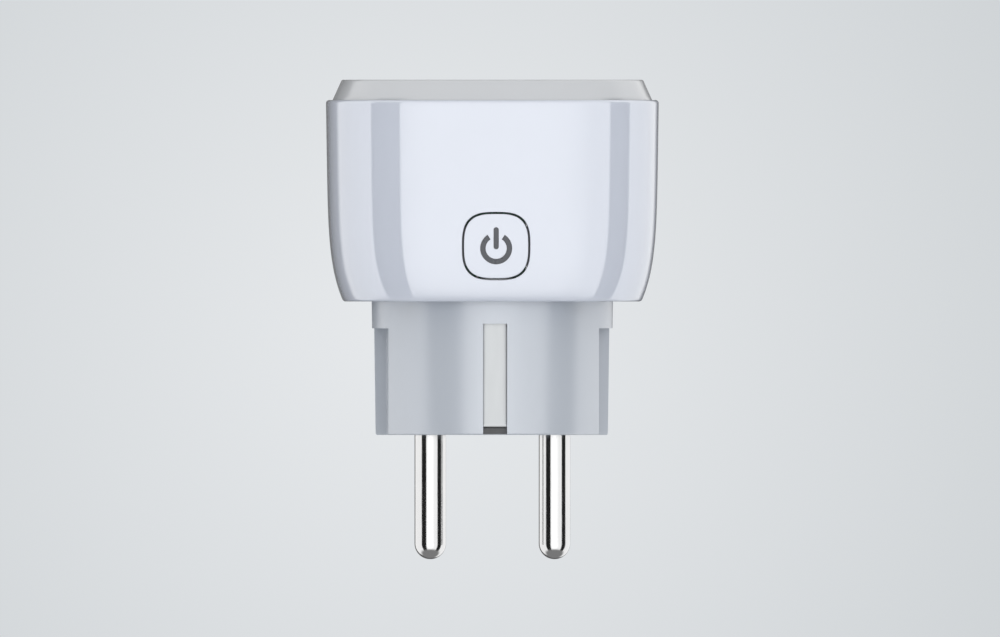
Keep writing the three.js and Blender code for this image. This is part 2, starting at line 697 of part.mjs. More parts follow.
// The outline of a spool about its middle: a drum between two rims, each rim that thick.
function spool(radius, drum, half, thickness) {
  return [
    [0, -half],
    [radius, -half],
    [radius, thickness - half],
    [drum, thickness - half],
    [drum, half - thickness],
    [radius, half - thickness],
    [radius, half],
    [0, half],
  ];
}

// The relay's coil lies along X: a wound drum between two cheeks.
function relayCoil() {
  const cheek = relay.depth / 2 - relay.wall - fit;
  return turned(spool(cheek, 0.8 * cheek, relay.length / 2 - relay.wall - 3 * fit, 1), smallSides);
}

const coilPlace = [0, relayY, relayLow + relay.depth / 2 + fit];
piece("relay_coil", relayCoil(), looks.copper, coilPlace, [0, quarter, 0]);

const can = { edge: 0.4, groovePlace: 1.6, grooveDepth: 0.35 };

// An upright electrolytic can, with a rolled groove near its foot.
function canCapacitor({ radius, height }) {
  return turned([
    [0, 0],
    [radius - can.edge, 0],
    [radius, can.edge],
    [radius, can.groovePlace - can.grooveDepth],
    [radius - can.grooveDepth, can.groovePlace],
    [radius, can.groovePlace + can.grooveDepth],
    [radius, height - can.edge],
    [radius - can.edge, height],
    [0, height],
  ], smallSides);
}

const besideRetainer = retainer.radius + 1;
const capacitorX = -(besideRetainer + capacitor.radius);
const onBoard = boardTop + seat;
[1, -1].forEach((side, i) => {
  const place = [capacitorX, (side * capacitor.spacing) / 2, onBoard];
  piece(`output_capacitor_${i + 1}`, canCapacitor(capacitor), looks.black, place);
});

// Two taller round parts hang under the board, behind the contacts.
const underBoard = boardLow - seat;
const hungPlace = [-bulkCapacitor.x, bulkCapacitor.y, underBoard];
piece("bulk_capacitor", canCapacitor(bulkCapacitor), looks.black, hungPlace, [2 * quarter, 0, 0]);

const inductorHalf = bulkCapacitor.height / 2;
const inductorOutline = spool(bulkCapacitor.radius, 0.7 * bulkCapacitor.radius, inductorHalf, 1.2);
const inductor = turned(inductorOutline, smallSides);
const inductorPlace = [bulkCapacitor.x, bulkCapacitor.y, underBoard - inductorHalf];
piece("filter_inductor", inductor, looks.copper, inductorPlace);

// The transformer stands at the right: a core with a window, and the winding in the window.
const transformerX = besideRetainer + transformer.width / 2;
const { width: coreWidth, length: coreLength, height: coreHeight, limb } = transformer;
const [windowLength, windowHeight] = [coreLength - 2 * limb, coreHeight - 2 * limb];
const coreWindow = box(coreWidth * 2, windowLength, windowHeight, 0, 0, limb);
const winding = box(coreWidth, windowLength - 2 * fit, windowHeight - 2 * fit, 0, 0, limb + fit);
const core = cut(box(coreWidth, coreLength, coreHeight), coreWindow);
piece("transformer_core", core, looks.ferrite, [transformerX, 0, onBoard]);
piece("transformer_winding", winding, looks.tape, [transformerX, 0, onBoard]);

// The film capacitor and the varistor stand at the back, either side of the rear earth clip.
const backY = clipY - filmCapacitor.depth / 2 + backReach;
const filmX = clip.width / 2 + 3 * fit + filmCapacitor.width / 2;
const filmBlock = box(filmCapacitor.width, filmCapacitor.depth, filmCapacitor.height);
piece("film_capacitor", filmBlock, looks.yellow, [filmX, backY, onBoard]);

const varistorDisc = column(varistor.radius, varistor.thickness, 0, 0, -varistor.thickness / 2, 24);
const varistorX = -(clip.width / 2 + 3 * fit + varistor.radius);
const varistorPlace = [varistorX, backY, onBoard + varistor.radius + fit];
piece("varistor", varistorDisc, looks.blue, varistorPlace, [quarter, 0, 0]);

// A cartridge fuse lies across the board, with raised metal end caps.
const cartridge = turned(spool(fuse.radius, fuse.glass, fuse.length / 2, fuse.cap), smallSides);
piece("fuse", cartridge, looks.brass, [0, fuse.y, onBoard + fuse.radius], [0, quarter, 0]);

const chipRow = -(contact.width / 2 + chips.gapToContacts);
const rectifierBlock = box(rectifier.length, rectifier.width, rectifier.thickness);
piece("bridge_rectifier", rectifierBlock, looks.black, [chips.x, chipRow, onBoard]);
const chipBlock = box(meteringChip.length, meteringChip.width, meteringChip.thickness);
piece("metering_chip", chipBlock, looks.black, [-chips.x, chipRow, onBoard]);

// The current shunt is a bridge of resistance strip on two feet.
function currentShunt() {
  const foot = shunt.thickness / 2 + seat / 2;
  const top = foot + shunt.rise;
  const bendY = shunt.half - shunt.foot;
  const half = [[bendY - shunt.lean, top], [bendY, foot], [shunt.half, foot]];
  const mirrored = [...half].reverse().map(([y, z]) => [-y, z]);
  return prismX(ribbon([...mirrored, ...half], shunt.thickness), shunt.width);
}

piece("current_shunt", currentShunt(), looks.copper, [shunt.inset - pinX, shunt.y, onBoard]);

// ---------------------------------------------------------------- control board and button

const controlLow = flangeTop + controlBoard.foot;
const controlHalf = postXY - post.radius - fit;
const controlHeight = ceiling - fit - controlLow;
const controlPlace = [0, controlFront + controlBoard.thickness / 2, controlLow];
const controlPlate = box(2 * controlHalf, controlBoard.thickness, controlHeight);
piece("control_board", controlPlate, looks.board, controlPlace);

const header = { width: 8, depth: 2, height: 2 };
const headerX = clip.width / 2 + fit + header.width / 2;
const headerPlace = [headerX, controlBack + seat + header.depth / 2, onBoard];
piece("board_header", box(header.width, header.depth, header.height), looks.black, headerPlace);

function tactHousing() {
  const middle = tactFront + tact.thickness / 2;
  const housing = box(tact.size, tact.thickness, tact.size, 0, middle, buttonZ - tact.size / 2);
  const bore = new THREE.Shape().absarc(0, buttonZ, tact.plunger + seat, 0, 2 * Math.PI, false);
  return cut(housing, prismY(bore, tactFront - 1, tactBack + 1));
}

piece("tact_switch", tactHousing(), looks.black);

const plunger = column(tact.plunger, tact.plungerLength);
piece("tact_plunger", plunger, looks.carrier, [0, guideBack + seat, buttonZ], [-quarter, 0, 0]);

const shield = { width: 6.6, height: 7.6, thickness: 1, gap: 2 };
const shieldX = tact.size / 2 + shield.gap + shield.width / 2;
const shieldPlace = [shieldX, controlFront - seat - shield.thickness / 2, buttonZ - shield.height / 2];
piece("wifi_shield", box(shield.width, shield.thickness, shield.height), looks.steel, shieldPlace);

const led = { width: 1.6, thickness: 0.8, gap: 1.2 };
const ledX = -(tact.size / 2 + led.gap);
const ledPlace = [ledX, controlFront - seat - led.thickness / 2, buttonZ - led.thickness / 2];
piece("status_led", box(led.width, led.thickness, led.thickness), looks.led, ledPlace);

// The button's cap continues the body's own surface, and the power symbol is cut through it.
function powerButton() {
  const prism = prismY(buttonOutline(button.size), buttonFace - 3, capBack);
  return cut(bodyOutside.intersect(prism), symbolPrism(symbol.gap, buttonFace - 3, capBack + 1));
}

piece("power_button", powerButton(), looks.gloss);

// The light guide fills the symbol from behind. Its side wings keep the button in the body.
function symbolLightGuide() {
  const raised = symbolPrism(0, buttonFace - 3, guideFront + seat).intersect(bodyOutside);
  const disc = prismY(buttonOutline(2 * guide.half), guideFront, guideBack);
  const wings = box(2 * guide.wing, guide.plate, guide.wingHeight, 0, (guideFront + guideBack) / 2,
    buttonZ - guide.wingHeight / 2);
  return join(raised, disc, wings);
}

piece("symbol_light_guide", symbolLightGuide(), looks.symbol);

export default smartPlug;
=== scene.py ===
import json
import math

import bmesh
import bpy
import mathutils
import numpy as np
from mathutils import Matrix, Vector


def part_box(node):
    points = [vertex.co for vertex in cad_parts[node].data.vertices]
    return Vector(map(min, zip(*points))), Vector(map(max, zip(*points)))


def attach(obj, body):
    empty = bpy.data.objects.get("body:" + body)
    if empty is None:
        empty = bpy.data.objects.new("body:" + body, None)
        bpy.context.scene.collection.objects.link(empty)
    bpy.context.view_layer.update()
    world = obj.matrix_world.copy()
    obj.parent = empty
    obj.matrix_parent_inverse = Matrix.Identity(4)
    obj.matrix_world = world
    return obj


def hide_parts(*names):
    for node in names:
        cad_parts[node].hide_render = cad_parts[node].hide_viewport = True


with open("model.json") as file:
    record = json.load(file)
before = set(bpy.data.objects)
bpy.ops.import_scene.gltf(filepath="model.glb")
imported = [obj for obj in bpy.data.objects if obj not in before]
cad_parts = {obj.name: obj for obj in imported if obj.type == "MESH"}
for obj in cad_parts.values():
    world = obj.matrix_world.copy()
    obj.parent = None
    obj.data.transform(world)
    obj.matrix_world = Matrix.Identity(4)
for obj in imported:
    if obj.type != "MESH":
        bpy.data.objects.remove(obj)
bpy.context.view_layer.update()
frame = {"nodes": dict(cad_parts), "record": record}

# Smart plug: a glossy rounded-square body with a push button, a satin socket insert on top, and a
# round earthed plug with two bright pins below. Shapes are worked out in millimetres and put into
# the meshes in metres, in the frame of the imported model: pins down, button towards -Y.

MM = 0.001
TURN = 2 * math.pi
QUARTER = math.pi / 2


def span(node):
    """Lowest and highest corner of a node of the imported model, in millimetres."""
    low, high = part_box(node)
    return np.array(low) / MM, np.array(high) / MM


# ---------------------------------------------------------------- sizes, from the frame

shell_low, shell_high = span("body_shell")
insert_high = span("socket_insert")[1]
base_high = span("plug_base")[1]
pin_low, pin_high = span("neutral_pin")
button_low, button_high = span("power_button")
guide_high = span("symbol_light_guide")[1]
strip_low, strip_high = span("plug_earth_strip_front")
clip_low, clip_high = span("socket_earth_clip_front")
sleeve_low, sleeve_high = span("earth_pin_sleeve")
retainer_high = span("shutter_retainer")[1]

BODY_HALF = shell_high[0]
BODY_LOW, BODY_TOP = shell_low[2], shell_high[2]
RIM_TOP = insert_high[2]
PIN_X = (pin_low[0] + pin_high[0]) / 2
PIN_LENGTH = -pin_low[2]
BUTTON_Z = (button_low[2] + button_high[2]) / 2
BUTTON_HALF = (button_high[0] - button_low[0]) / 2

TAPER = 0.45  # how much narrower each side gets evenly, from the top edge to the bottom one
TUCK = 2.2  # how much more it draws in, growing with the sixth power of the way down
SQUARENESS = 3.55  # exponent of the superellipse of the body's cross-section
BUTTON_SQUARENESS = 3.0
BUTTON_GAP = 0.3  # between the cap and the shell
GUIDE_HALF = 4.6  # half-width of the plate behind the cap
WING_RISE = 3  # how far the guide's wings reach above and below its middle
SHELL_WALL = 1.4
SHELL_FLOOR = 2.0
RIM_LEDGE = 1.01  # how far the collar stands in from the body's top edge
RIM_LEAN = 1.4  # how far the collar leans in, from its foot to its top
RECESS_RADIUS = 19.5
RECESS_FLOOR = RIM_TOP - 17.5
FLOOR_THICKNESS = 1.8
PLUG_LOW_RADIUS = 18.15
PLUG_HIGH_RADIUS = 18.45
GROOVE_FLOOR = 16.1
GROOVE_BACK = 2.9
GROOVE_SPLAY = math.radians(27)  # the groove's end wall opens outwards, so that the mould lets go
GROOVE_TOP = 16.3
SLOT_HALF = 1.835
SLOT_FLOOR = 16.2
SLOT_TOP = 17.0
STRIP_WIDTH = 3.64
STRIP_THICKNESS = 0.8
PIN_RADIUS = 2.4
PIN_HOLE_RADIUS = 2.7
SCREW_HOLE_RADIUS = 1.55
SCREW_HEAD_RADIUS = 2.3
EARTH_HOLE_Y = (sleeve_low[1] + sleeve_high[1]) / 2
PLUG_EDGE = 0.3
PIN_SHOULDER = 3.5
OUTER_STRIP_Y = -strip_low[1] - STRIP_THICKNESS / 2
INNER_STRIP_Y = 14.6
CLIP_Y = -clip_low[1] - 0.45
SYMBOL_OUTER, SYMBOL_INNER = 2.42, 1.64
SYMBOL_OPENING = 33.0  # degrees to either side of the top
SYMBOL_BAR = 0.75
SYMBOL_GAP = 0.03
SYMBOL_DROP = 0.34  # how far the ring's middle lies below the button's
SYMBOL_RISE = 3.2  # from the ring's middle to the bar's top


def axis(node):
    """The upright axis that a node stands on: the middle of its box in x and y."""
    low, high = span(node)
    return tuple((low + high)[:2] / 2)


SCREWS = [axis(f"case_screw_{number}") for number in (1, 2, 3, 4)]
RETAINER_SCREWS = [axis(f"shutter_screw_{number}") for number in (1, 2)]


# ---------------------------------------------------------------- surfaces and meshes


def reach(angle, squareness):
    """Radius of the superellipse of half-width 1: (|cos|^n + |sin|^n) to the power of -1/n."""
    return (np.abs(np.cos(angle)) ** squareness + np.abs(np.sin(angle)) ** squareness) ** (-1 / squareness)


def body_half(z):
    """The body's half-width: an even taper plus a tuck that grows with the sixth power of the way down."""
    down = (BODY_TOP - z) / (BODY_TOP - BODY_LOW)
    return BODY_HALF - TAPER * down - TUCK * down**6


def front_y(x, z, inset=0.0):
    """The front surface's y over (x, z): the superellipse of half-width body_half(z) solved for y."""
    half = body_half(z) - inset
    return -half * (1 - (np.abs(x) / half) ** SQUARENESS) ** (1 / SQUARENESS)


def quads(rows, columns, wrap_rows=False, wrap_columns=True):
    """The corner indices of the quads between neighbouring points of a grid of rows and columns."""
    row = np.arange(rows if wrap_rows else rows - 1)
    column = np.arange(columns if wrap_columns else columns - 1)
    row, column = np.meshgrid(row, column, indexing="ij")
    below, beside = (row + 1) % rows, (column + 1) % columns
    near, far = row * columns, below * columns
    return np.stack([near + column, near + beside, far + beside, far + column], -1)


def sheet(grid, wrap_rows=False, capped=False, keep=None):
    """A grid of points with its faces: closed round its columns, and capped or wrapped over its rows."""
    rows, columns = grid.shape[:2]
    faces = quads(rows, columns, wrap_rows)
    faces = faces[keep].tolist() if keep is not None else faces.reshape(-1, 4).tolist()
    if capped:
        faces += [np.arange(columns)[::-1].tolist(), (np.arange(columns) + (rows - 1) * columns).tolist()]
    return grid.reshape(-1, 3), faces


def build(name, sheets, angle=35.0):
    """A piece from sheets in millimetres: joined, welded and faced outwards, its place in its mesh."""
    work = bmesh.new()
    for grid, loops in sheets:
        part = bpy.data.meshes.new(name)
        part.from_pydata((grid * MM).tolist(), [], loops)
        weld(part, 2e-7)
        work.from_mesh(part)
        bpy.data.meshes.remove(part)
    bmesh.ops.remove_doubles(work, verts=work.verts, dist=2e-7)
    bmesh.ops.recalc_face_normals(work, faces=work.faces)
    mesh = bpy.data.meshes.new(name)
    work.to_mesh(mesh)
    work.free()
    shade(mesh, angle)
    piece = bpy.data.objects.new(name, mesh)
    bpy.context.scene.collection.objects.link(piece)
    return piece


def weld(mesh, distance):
    """Joins points closer than the distance, and drops faces and edges that come to nothing."""
    work = bmesh.new()
    work.from_mesh(mesh)
    bmesh.ops.remove_doubles(work, verts=work.verts, dist=distance)
    bmesh.ops.dissolve_degenerate(work, edges=work.edges, dist=distance / 10)
    work.to_mesh(mesh)
    work.free()


def shade(mesh, angle):
    """Smooth shading, with edges sharper than the angle kept crisp."""
    mesh.shade_smooth()
    mesh.set_sharp_from_angle(angle=math.radians(angle))


def bend(centre, radius, start, end, steps=6):
    """Points on a circle's arc in a profile's plane, from one angle to another in degrees."""
    angle = np.radians(np.linspace(start, end, steps + 1))
    return [(centre[0] + radius * math.cos(a), centre[1] + radius * math.sin(a)) for a in angle]


def turned(profile, x=0.0, y=0.0, columns=96, squareness=2.0):
    """A profile of (radius, z) swept round an upright axis at (x, y), on a circle or a superellipse."""
    radius, height = np.array(profile, float).T[:, :, None]
    angle = TURN * np.arange(columns) / columns
    radius = radius * reach(angle, squareness)
    return np.stack([x + radius * np.cos(angle), y + radius * np.sin(angle), height + 0 * radius], -1)


def drum(x, y, radius, low, high, columns):
    """A plain round drum upright at (x, y), from one height to another."""
    return sheet(turned([(0, low), (radius, low), (radius, high), (0, high)], x, y, columns))


def round_rectangle(width, depth, corner, x=0.0, y=0.0, steps=4):
    """The outline of a rectangle round (x, y) whose corners are quarter circles."""
    angle = np.concatenate([np.linspace(q, q + QUARTER, steps + 1) for q in np.arange(4) * QUARTER])
    side = np.repeat([[1, 1], [-1, 1], [-1, -1], [1, -1]], steps + 1, axis=0)
    flat = side * [width / 2 - corner, depth / 2 - corner]
    return flat + corner * np.stack([np.cos(angle), np.sin(angle)], -1) + [x, y]


def upright(outline, low, high):
    """A prism: an outline in x and y carried from one height to another."""
    ends = [np.column_stack([outline, np.full(len(outline), z)]) for z in (low, high)]
    return sheet(np.array(ends), capped=True)


def smooth_path(points, radius, step=0.25):
    """A path through points in a plane: each bend is a quadratic curve, and the steps are even."""
    points = np.array(points, float)
    t = np.linspace(0, 1, 9)[:, None]
    path = [points[:1]]
    for before, corner, after in zip(points, points[1:], points[2:]):
        to, on = before - corner, after - corner
        cut = min(radius, np.linalg.norm(to) / 2, np.linalg.norm(on) / 2)
        start, end = corner + to / np.linalg.norm(to) * cut, corner + on / np.linalg.norm(on) * cut
        path.append((1 - t) ** 2 * start + 2 * t * (1 - t) * corner + t**2 * end)
    path = np.concatenate(path + [points[-1:]])
    length = np.concatenate([[0], np.cumsum(np.linalg.norm(np.diff(path, axis=0), axis=1))])
    even = np.linspace(0, length[-1], int(length[-1] / step) + 2)
    return np.stack([np.interp(even, length, path[:, k]) for k in range(2)], -1)


def strip(path, width, thickness, corner):
    """A flat strip carried along a path in y and z: its section is a rounded rectangle across X."""
    along = np.gradient(path, axis=0)
    along /= np.linalg.norm(along, axis=1, keepdims=True)
    normal = np.stack([-along[:, 1], along[:, 0]], -1)
    across, out = round_rectangle(width, thickness, corner).T
    grid = np.empty((len(path), len(across), 3))
    grid[..., 0] = across
    grid[..., 1:] = path[:, None] + normal[:, None] * out[None, :, None]
    return sheet(grid, capped=True)


def dome(outline, centre, face, back, edge=0.0, rings=24):
    """A plate in x and z that faces the front: rings shrink from its outline to its centre.

    The rings' y follows the face function, rolls over a rounded edge, and goes straight to the back.
    """
    offset = outline - centre
    size = np.linalg.norm(offset, axis=1, keepdims=True)
    rows = []
    for share in np.linspace(0, 1, rings):
        x, z = (centre + offset * (1 - edge / size) * share).T
        rows.append(np.stack([x, face(x, z), z], -1))
    for out, deep in bend((0, edge), edge, -90, 0)[1:] if edge else ():
        x, z = (centre + offset * (1 - (edge - out) / size)).T
        rows.append(np.stack([x, face(x, z) + deep, z], -1))
    rows.append(np.stack([outline[:, 0], np.full(len(outline), back), outline[:, 1]], -1))
    rows.append(np.stack([0 * x + centre[0], 0 * x + back, 0 * x + centre[1]], -1))
    return sheet(np.array(rows))


def evaluated(piece, angle):
    """The piece with its modifiers made into a plain mesh."""
    shaped = piece.evaluated_get(bpy.context.evaluated_depsgraph_get())
    mesh = bpy.data.meshes.new_from_object(shaped)
    mesh.name = piece.name
    weld(mesh, 4e-6)
    piece.modifiers.clear()
    piece.data = mesh
    shade(mesh, angle)
    return piece


def combine(piece, operation, sheets, angle=35.0):
    """Cuts the closed sheets from a piece, or joins them on."""
    tool = build("tool", sheets)
    change = piece.modifiers.new("combine", "BOOLEAN")
    change.operation = operation
    change.solver = "EXACT"
    change.object = tool
    evaluated(piece, angle)
    bpy.data.objects.remove(tool)
    return piece


def soften(piece, width, angle):
    """Rounds the edges sharper than the angle, and evens the shading over the flats beside them."""
    rounding = piece.modifiers.new("rounding", "BEVEL")
    rounding.width = width * MM
    rounding.segments = 3
    rounding.limit_method = "ANGLE"
    rounding.angle_limit = math.radians(angle)
    rounding.use_clamp_overlap = True
    return even(piece)


def even(piece):
    """Keeps flats flat in the shading where they meet a rounded edge."""
    shading = piece.modifiers.new("even_shading", "WEIGHTED_NORMAL")
    shading.keep_sharp = True
    return piece


def squircle(half):
    """The body's round, at a half-width: the radius towards each column."""
    return half * reach(ROUND, SQUARENESS)


def rings(rows):
    """Rings round the object's axis from rows of (radius, z), each radius one number or one a column."""
    radius = np.array([np.broadcast_to(row[0], COLUMNS) for row in rows])
    height = np.array([row[1] for row in rows])[:, None]
    return np.stack([radius * np.cos(ROUND), radius * np.sin(ROUND), height + 0 * radius], -1)


COLUMNS = 400
ROUND = TURN * np.arange(COLUMNS) / COLUMNS


# ---------------------------------------------------------------- body shell

FRONT_COLUMN = COLUMNS * 3 // 4
PATCH_COLUMNS = 21
HOLE_EDGE = 0.09


def button_outline(angle, half):
    """The button's outline in x and z at the given angles: a superellipse round its centre."""
    radius = half * reach(angle, BUTTON_SQUARENESS)
    return np.stack([radius * np.cos(angle), BUTTON_Z + radius * np.sin(angle)], -1)


def patch_edge(first, last):
    """Grid indices once round a rectangle of the front: rows first to last, and the patch's columns."""
    left, right = FRONT_COLUMN - PATCH_COLUMNS, FRONT_COLUMN + PATCH_COLUMNS
    across, up = np.arange(left, right), np.arange(first, last)
    row = np.concatenate([np.full(len(across), first), up, np.full(len(across), last), up[::-1] + 1])
    column = np.concatenate([across, np.full(len(up), right), across[::-1] + 1, np.full(len(up), left)])
    return row, column


def body_shell():
    """The shell wraps once round its own wall: underside, side, ledge, rebate, inside and floor.

    The button's hole replaces a patch of the front by rings that go from the patch's edge to the
    hole's outline, over its rounded edge, through the wall, and back out to the patch inside.
    """
    plug_hole = PLUG_HIGH_RADIUS + 0.12
    low_round, top_round = 0.35, 0.5
    floor = BODY_LOW + SHELL_FLOOR
    seam = BODY_HALF - RIM_LEDGE + 0.08
    sides = np.linspace(BODY_LOW + low_round, BODY_TOP - top_round, 68)
    inner = sides[(sides > floor + 0.2) & (sides < BODY_TOP - 2.6)]

    rows = [(plug_hole, BODY_LOW + 0.1), (plug_hole + 0.1, BODY_LOW)]
    for out, up in bend((-low_round, low_round), low_round, -90, 0):
        rows.append((squircle(body_half(BODY_LOW + up) + out), BODY_LOW + up))
    first_side = len(rows) - 1
    rows += [(squircle(body_half(z)), z) for z in sides[1:]]
    for out, up in bend((-top_round, -top_round), top_round, 0, 90)[1:]:
        rows.append((squircle(body_half(BODY_TOP + up) + out), BODY_TOP + up))
    rows += [(squircle(seam + out), BODY_TOP + up) for out, up in bend((0.12, -0.12), 0.12, 90, 180, 3)]
    rows.append((squircle(seam), BODY_TOP - 2.3))
    first_inner = len(rows)
    rows += [(squircle(body_half(z) - SHELL_WALL), z) for z in inner[::-1]]
    rows += [(squircle(body_half(floor) - SHELL_WALL), floor), (plug_hole, floor)]
    grid = rings(rows)

    low, high = np.searchsorted(sides, [max(BUTTON_Z - 7.2, inner[0]), BUTTON_Z + 7.2])
    outer = (first_side + low, first_side + high)
    top_inside = first_inner + len(inner) - 1 - np.searchsorted(inner, sides[high])
    inside = (top_inside, top_inside + high - low)
    keep = np.ones((len(rows), COLUMNS), bool)
    for first, last in (outer, inside):
        keep[first:last, FRONT_COLUMN - PATCH_COLUMNS:FRONT_COLUMN + PATCH_COLUMNS] = False

    row, column = patch_edge(*outer)
    outer_edge = grid[row, column]
    inside_edge = grid[inside[1] - (row - outer[0]), column]
    angle = np.arctan2(outer_edge[:, 2] - BUTTON_Z, outer_edge[:, 0])
    hole = BUTTON_HALF + BUTTON_GAP
    patch = outer_edge[:, [0, 2]]
    punched = [outer_edge]
    for share in np.linspace(1, 0, 10)[1:] ** 1.2:
        x, z = (button_outline(angle, hole + HOLE_EDGE) * (1 - share) + patch * share).T
        punched.append(np.stack([x, front_y(x, z), z], -1))
    for out, deep in bend((HOLE_EDGE, HOLE_EDGE), HOLE_EDGE, 270, 180, 5)[1:]:
        x, z = button_outline(angle, hole + out).T
        punched.append(np.stack([x, front_y(x, z) + deep, z], -1))
    punched += [np.stack([x, front_y(x, z, SHELL_WALL), z], -1), inside_edge]

    shell = build("glossy_body_shell", [sheet(grid, wrap_rows=True, keep=keep), sheet(np.array(punched))])
    seat = [(0, BODY_LOW - 1), (2.75, BODY_LOW - 1), (2.75, BODY_LOW), (2.6, BODY_LOW + 0.15),
            (2.6, BODY_LOW + 1.3), (0, BODY_LOW + 1.3)]
    combine(shell, "DIFFERENCE", [sheet(turned(seat, x, y, 48)) for x, y in SCREWS])
    return even(shell)


# ---------------------------------------------------------------- socket insert


def socket_insert():
    """Collar and socket cup in one surface: from the recess floor, up, over the rim and back under it.

    Each row is a ring; the recess is round, and the collar outside it is the body's superellipse,
    leaning in towards the top.
    """
    low_half = BODY_HALF - RIM_LEDGE
    tilt = math.atan2(RIM_LEAN, RIM_TOP - BODY_TOP)
    edge, mouth, corner = 0.35, 0.5, 0.4
    edge_x = low_half - RIM_LEAN + edge * (math.tan(tilt) - 1 / math.cos(tilt))
    ceiling = RECESS_FLOOR - FLOOR_THICKNESS
    cup, skirt = RECESS_RADIUS + 1.8, low_half - 2.1

    rows = [(radius, RECESS_FLOOR) for radius in np.linspace(0, RECESS_RADIUS - corner, 8)]
    rows += bend((RECESS_RADIUS - corner, RECESS_FLOOR + corner), corner, -90, 0)[1:]
    rows += [(RECESS_RADIUS, z) for z in np.linspace(RECESS_FLOOR + corner, RIM_TOP - mouth, 10)[1:-1]]
    rows += bend((RECESS_RADIUS + mouth, RIM_TOP - mouth), mouth, 180, 90)
    for out, up in bend((edge_x, RIM_TOP - edge), edge, 90, math.degrees(tilt)):
        rows.append((squircle(out), up))
    rows += [(squircle(low_half - RIM_LEAN * (z - BODY_TOP) / (RIM_TOP - BODY_TOP)), z)
             for z in np.linspace(RIM_TOP - 0.6, BODY_TOP, 6)]
    rows += [(squircle(low_half), BODY_TOP - 2), (squircle(skirt), BODY_TOP - 2)]
    rows.append((squircle(skirt), RIM_TOP - 2))
    rows += [(cup, RIM_TOP - 2), (cup, ceiling), (0, ceiling)]
    insert = build("satin_socket_insert", [sheet(rings(rows))])

    rib_x, rib_top = RECESS_RADIUS - 2.5, RIM_TOP - 3
    added = [upright(round_rectangle(3.4, 5.2, 0.5, side * (rib_x + 1.7)), ceiling + 0.5, rib_top)
             for side in (1, -1)]
    added += [drum(x, y, 3, 24.0, RIM_TOP - 1, 64) for x, y in SCREWS]
    combine(insert, "UNION", added, 30)
    pillars = [(0.0, 0.0, 2.0), *((x, y, 1.9) for x, y in RETAINER_SCREWS)]
    added = [drum(x, y, radius, retainer_high[2] + 0.1, ceiling + 0.5, 48) for x, y, radius in pillars]
    combine(insert, "UNION", added, 30)

    low, high = ceiling - 1, RECESS_FLOOR + 1
    cuts = [drum(x, 0, PIN_HOLE_RADIUS, low, high, 96) for x in (PIN_X, -PIN_X)]
    cuts += [upright(round_rectangle(5.6, 1.5, 0.35, 0, y), low, high) for y in (CLIP_Y, -CLIP_Y)]
    cuts += [drum(x, y, SCREW_HOLE_RADIUS, 23, 34.3, 48) for x, y in SCREWS]
    cuts += [drum(x, y, 1.2, 30, 34.7, 32) for x, y in RETAINER_SCREWS]
    combine(insert, "DIFFERENCE", cuts, 30)
    return soften(insert, 0.22, 30)


# ---------------------------------------------------------------- plug base and pins


def plug_base():
    """The round plug: a tapered drum with a square flange inside the body, and a cavity open upwards.

    It is rings round the axis; then its side grooves, earth slots and holes are cut, and softened.
    """
    flange_low, flange_top = base_high[2] - 1.4, base_high[2]
    flange = squircle(base_high[0])
    with np.errstate(divide="ignore"):
        flats = np.minimum(14.6 / np.abs(np.cos(ROUND)), 15.2 / np.abs(np.sin(ROUND)))
    cavity = np.minimum(15.75, flats)

    def wide(z):
        return PLUG_LOW_RADIUS + (PLUG_HIGH_RADIUS - PLUG_LOW_RADIUS) * z / BODY_LOW

    rows = [(radius, 0) for radius in (0, 5.5, 14.3, PLUG_LOW_RADIUS - PLUG_EDGE)]
    rows += bend((PLUG_LOW_RADIUS - PLUG_EDGE, PLUG_EDGE), PLUG_EDGE, -90, 0)[1:]
    rows += [(wide(z), z) for z in np.linspace(PLUG_EDGE, BODY_LOW, 14)[1:]]
    rows += [(PLUG_HIGH_RADIUS, flange_low), (flange, flange_low), (flange, flange_top)]
    rows += [(cavity, flange_top), (cavity, 3), (0, 3)]
    base = build("satin_plug_base", [sheet(rings(rows))], 18)

    front, outside = -24, GROOVE_FLOOR + 6
    splayed = GROOVE_BACK + math.tan(GROOVE_SPLAY) * (outside - GROOVE_FLOOR)
    groove = [(GROOVE_FLOOR, front), (outside, front), (outside, splayed), (GROOVE_FLOOR, GROOVE_BACK)]
    cuts = [upright(np.array(groove)[::side] * [side, 1], -1, GROOVE_TOP) for side in (1, -1)]
    for side in (1, -1):
        slot = round_rectangle(2 * SLOT_HALF, 6, 0.3, 0, side * (SLOT_FLOOR + 3))
        cuts.append(upright(slot, -1, SLOT_TOP))
    cuts += [drum(x, 0, PIN_HOLE_RADIUS, -1, 4, 96) for x in (PIN_X, -PIN_X)]
    hole = [(0, -1), (2.6, -1), (2.6, 0.8), (3.4, 0.8), (3.4, 4), (0, 4)]
    cuts.append(sheet(turned(hole, 0, EARTH_HOLE_Y, 96)))
    cuts += [drum(x, y, SCREW_HOLE_RADIUS, flange_low - 1, 25, 32) for x, y in SCREWS]
    combine(base, "DIFFERENCE", cuts, 18)
    pockets = []
    for side in (1, -1):
        notch = round_rectangle(2 * SLOT_HALF, 4.4, 0.2, 0, side * (SLOT_FLOOR + 0.1))
        pockets.append(upright(notch, -1, 2.5))
        pockets.append(upright(round_rectangle(3.9, 2.4, 0.2, 0, side * 16.3), 16.9, 19.7))
    combine(base, "DIFFERENCE", pockets, 18)
    return soften(base, 0.16, 18)


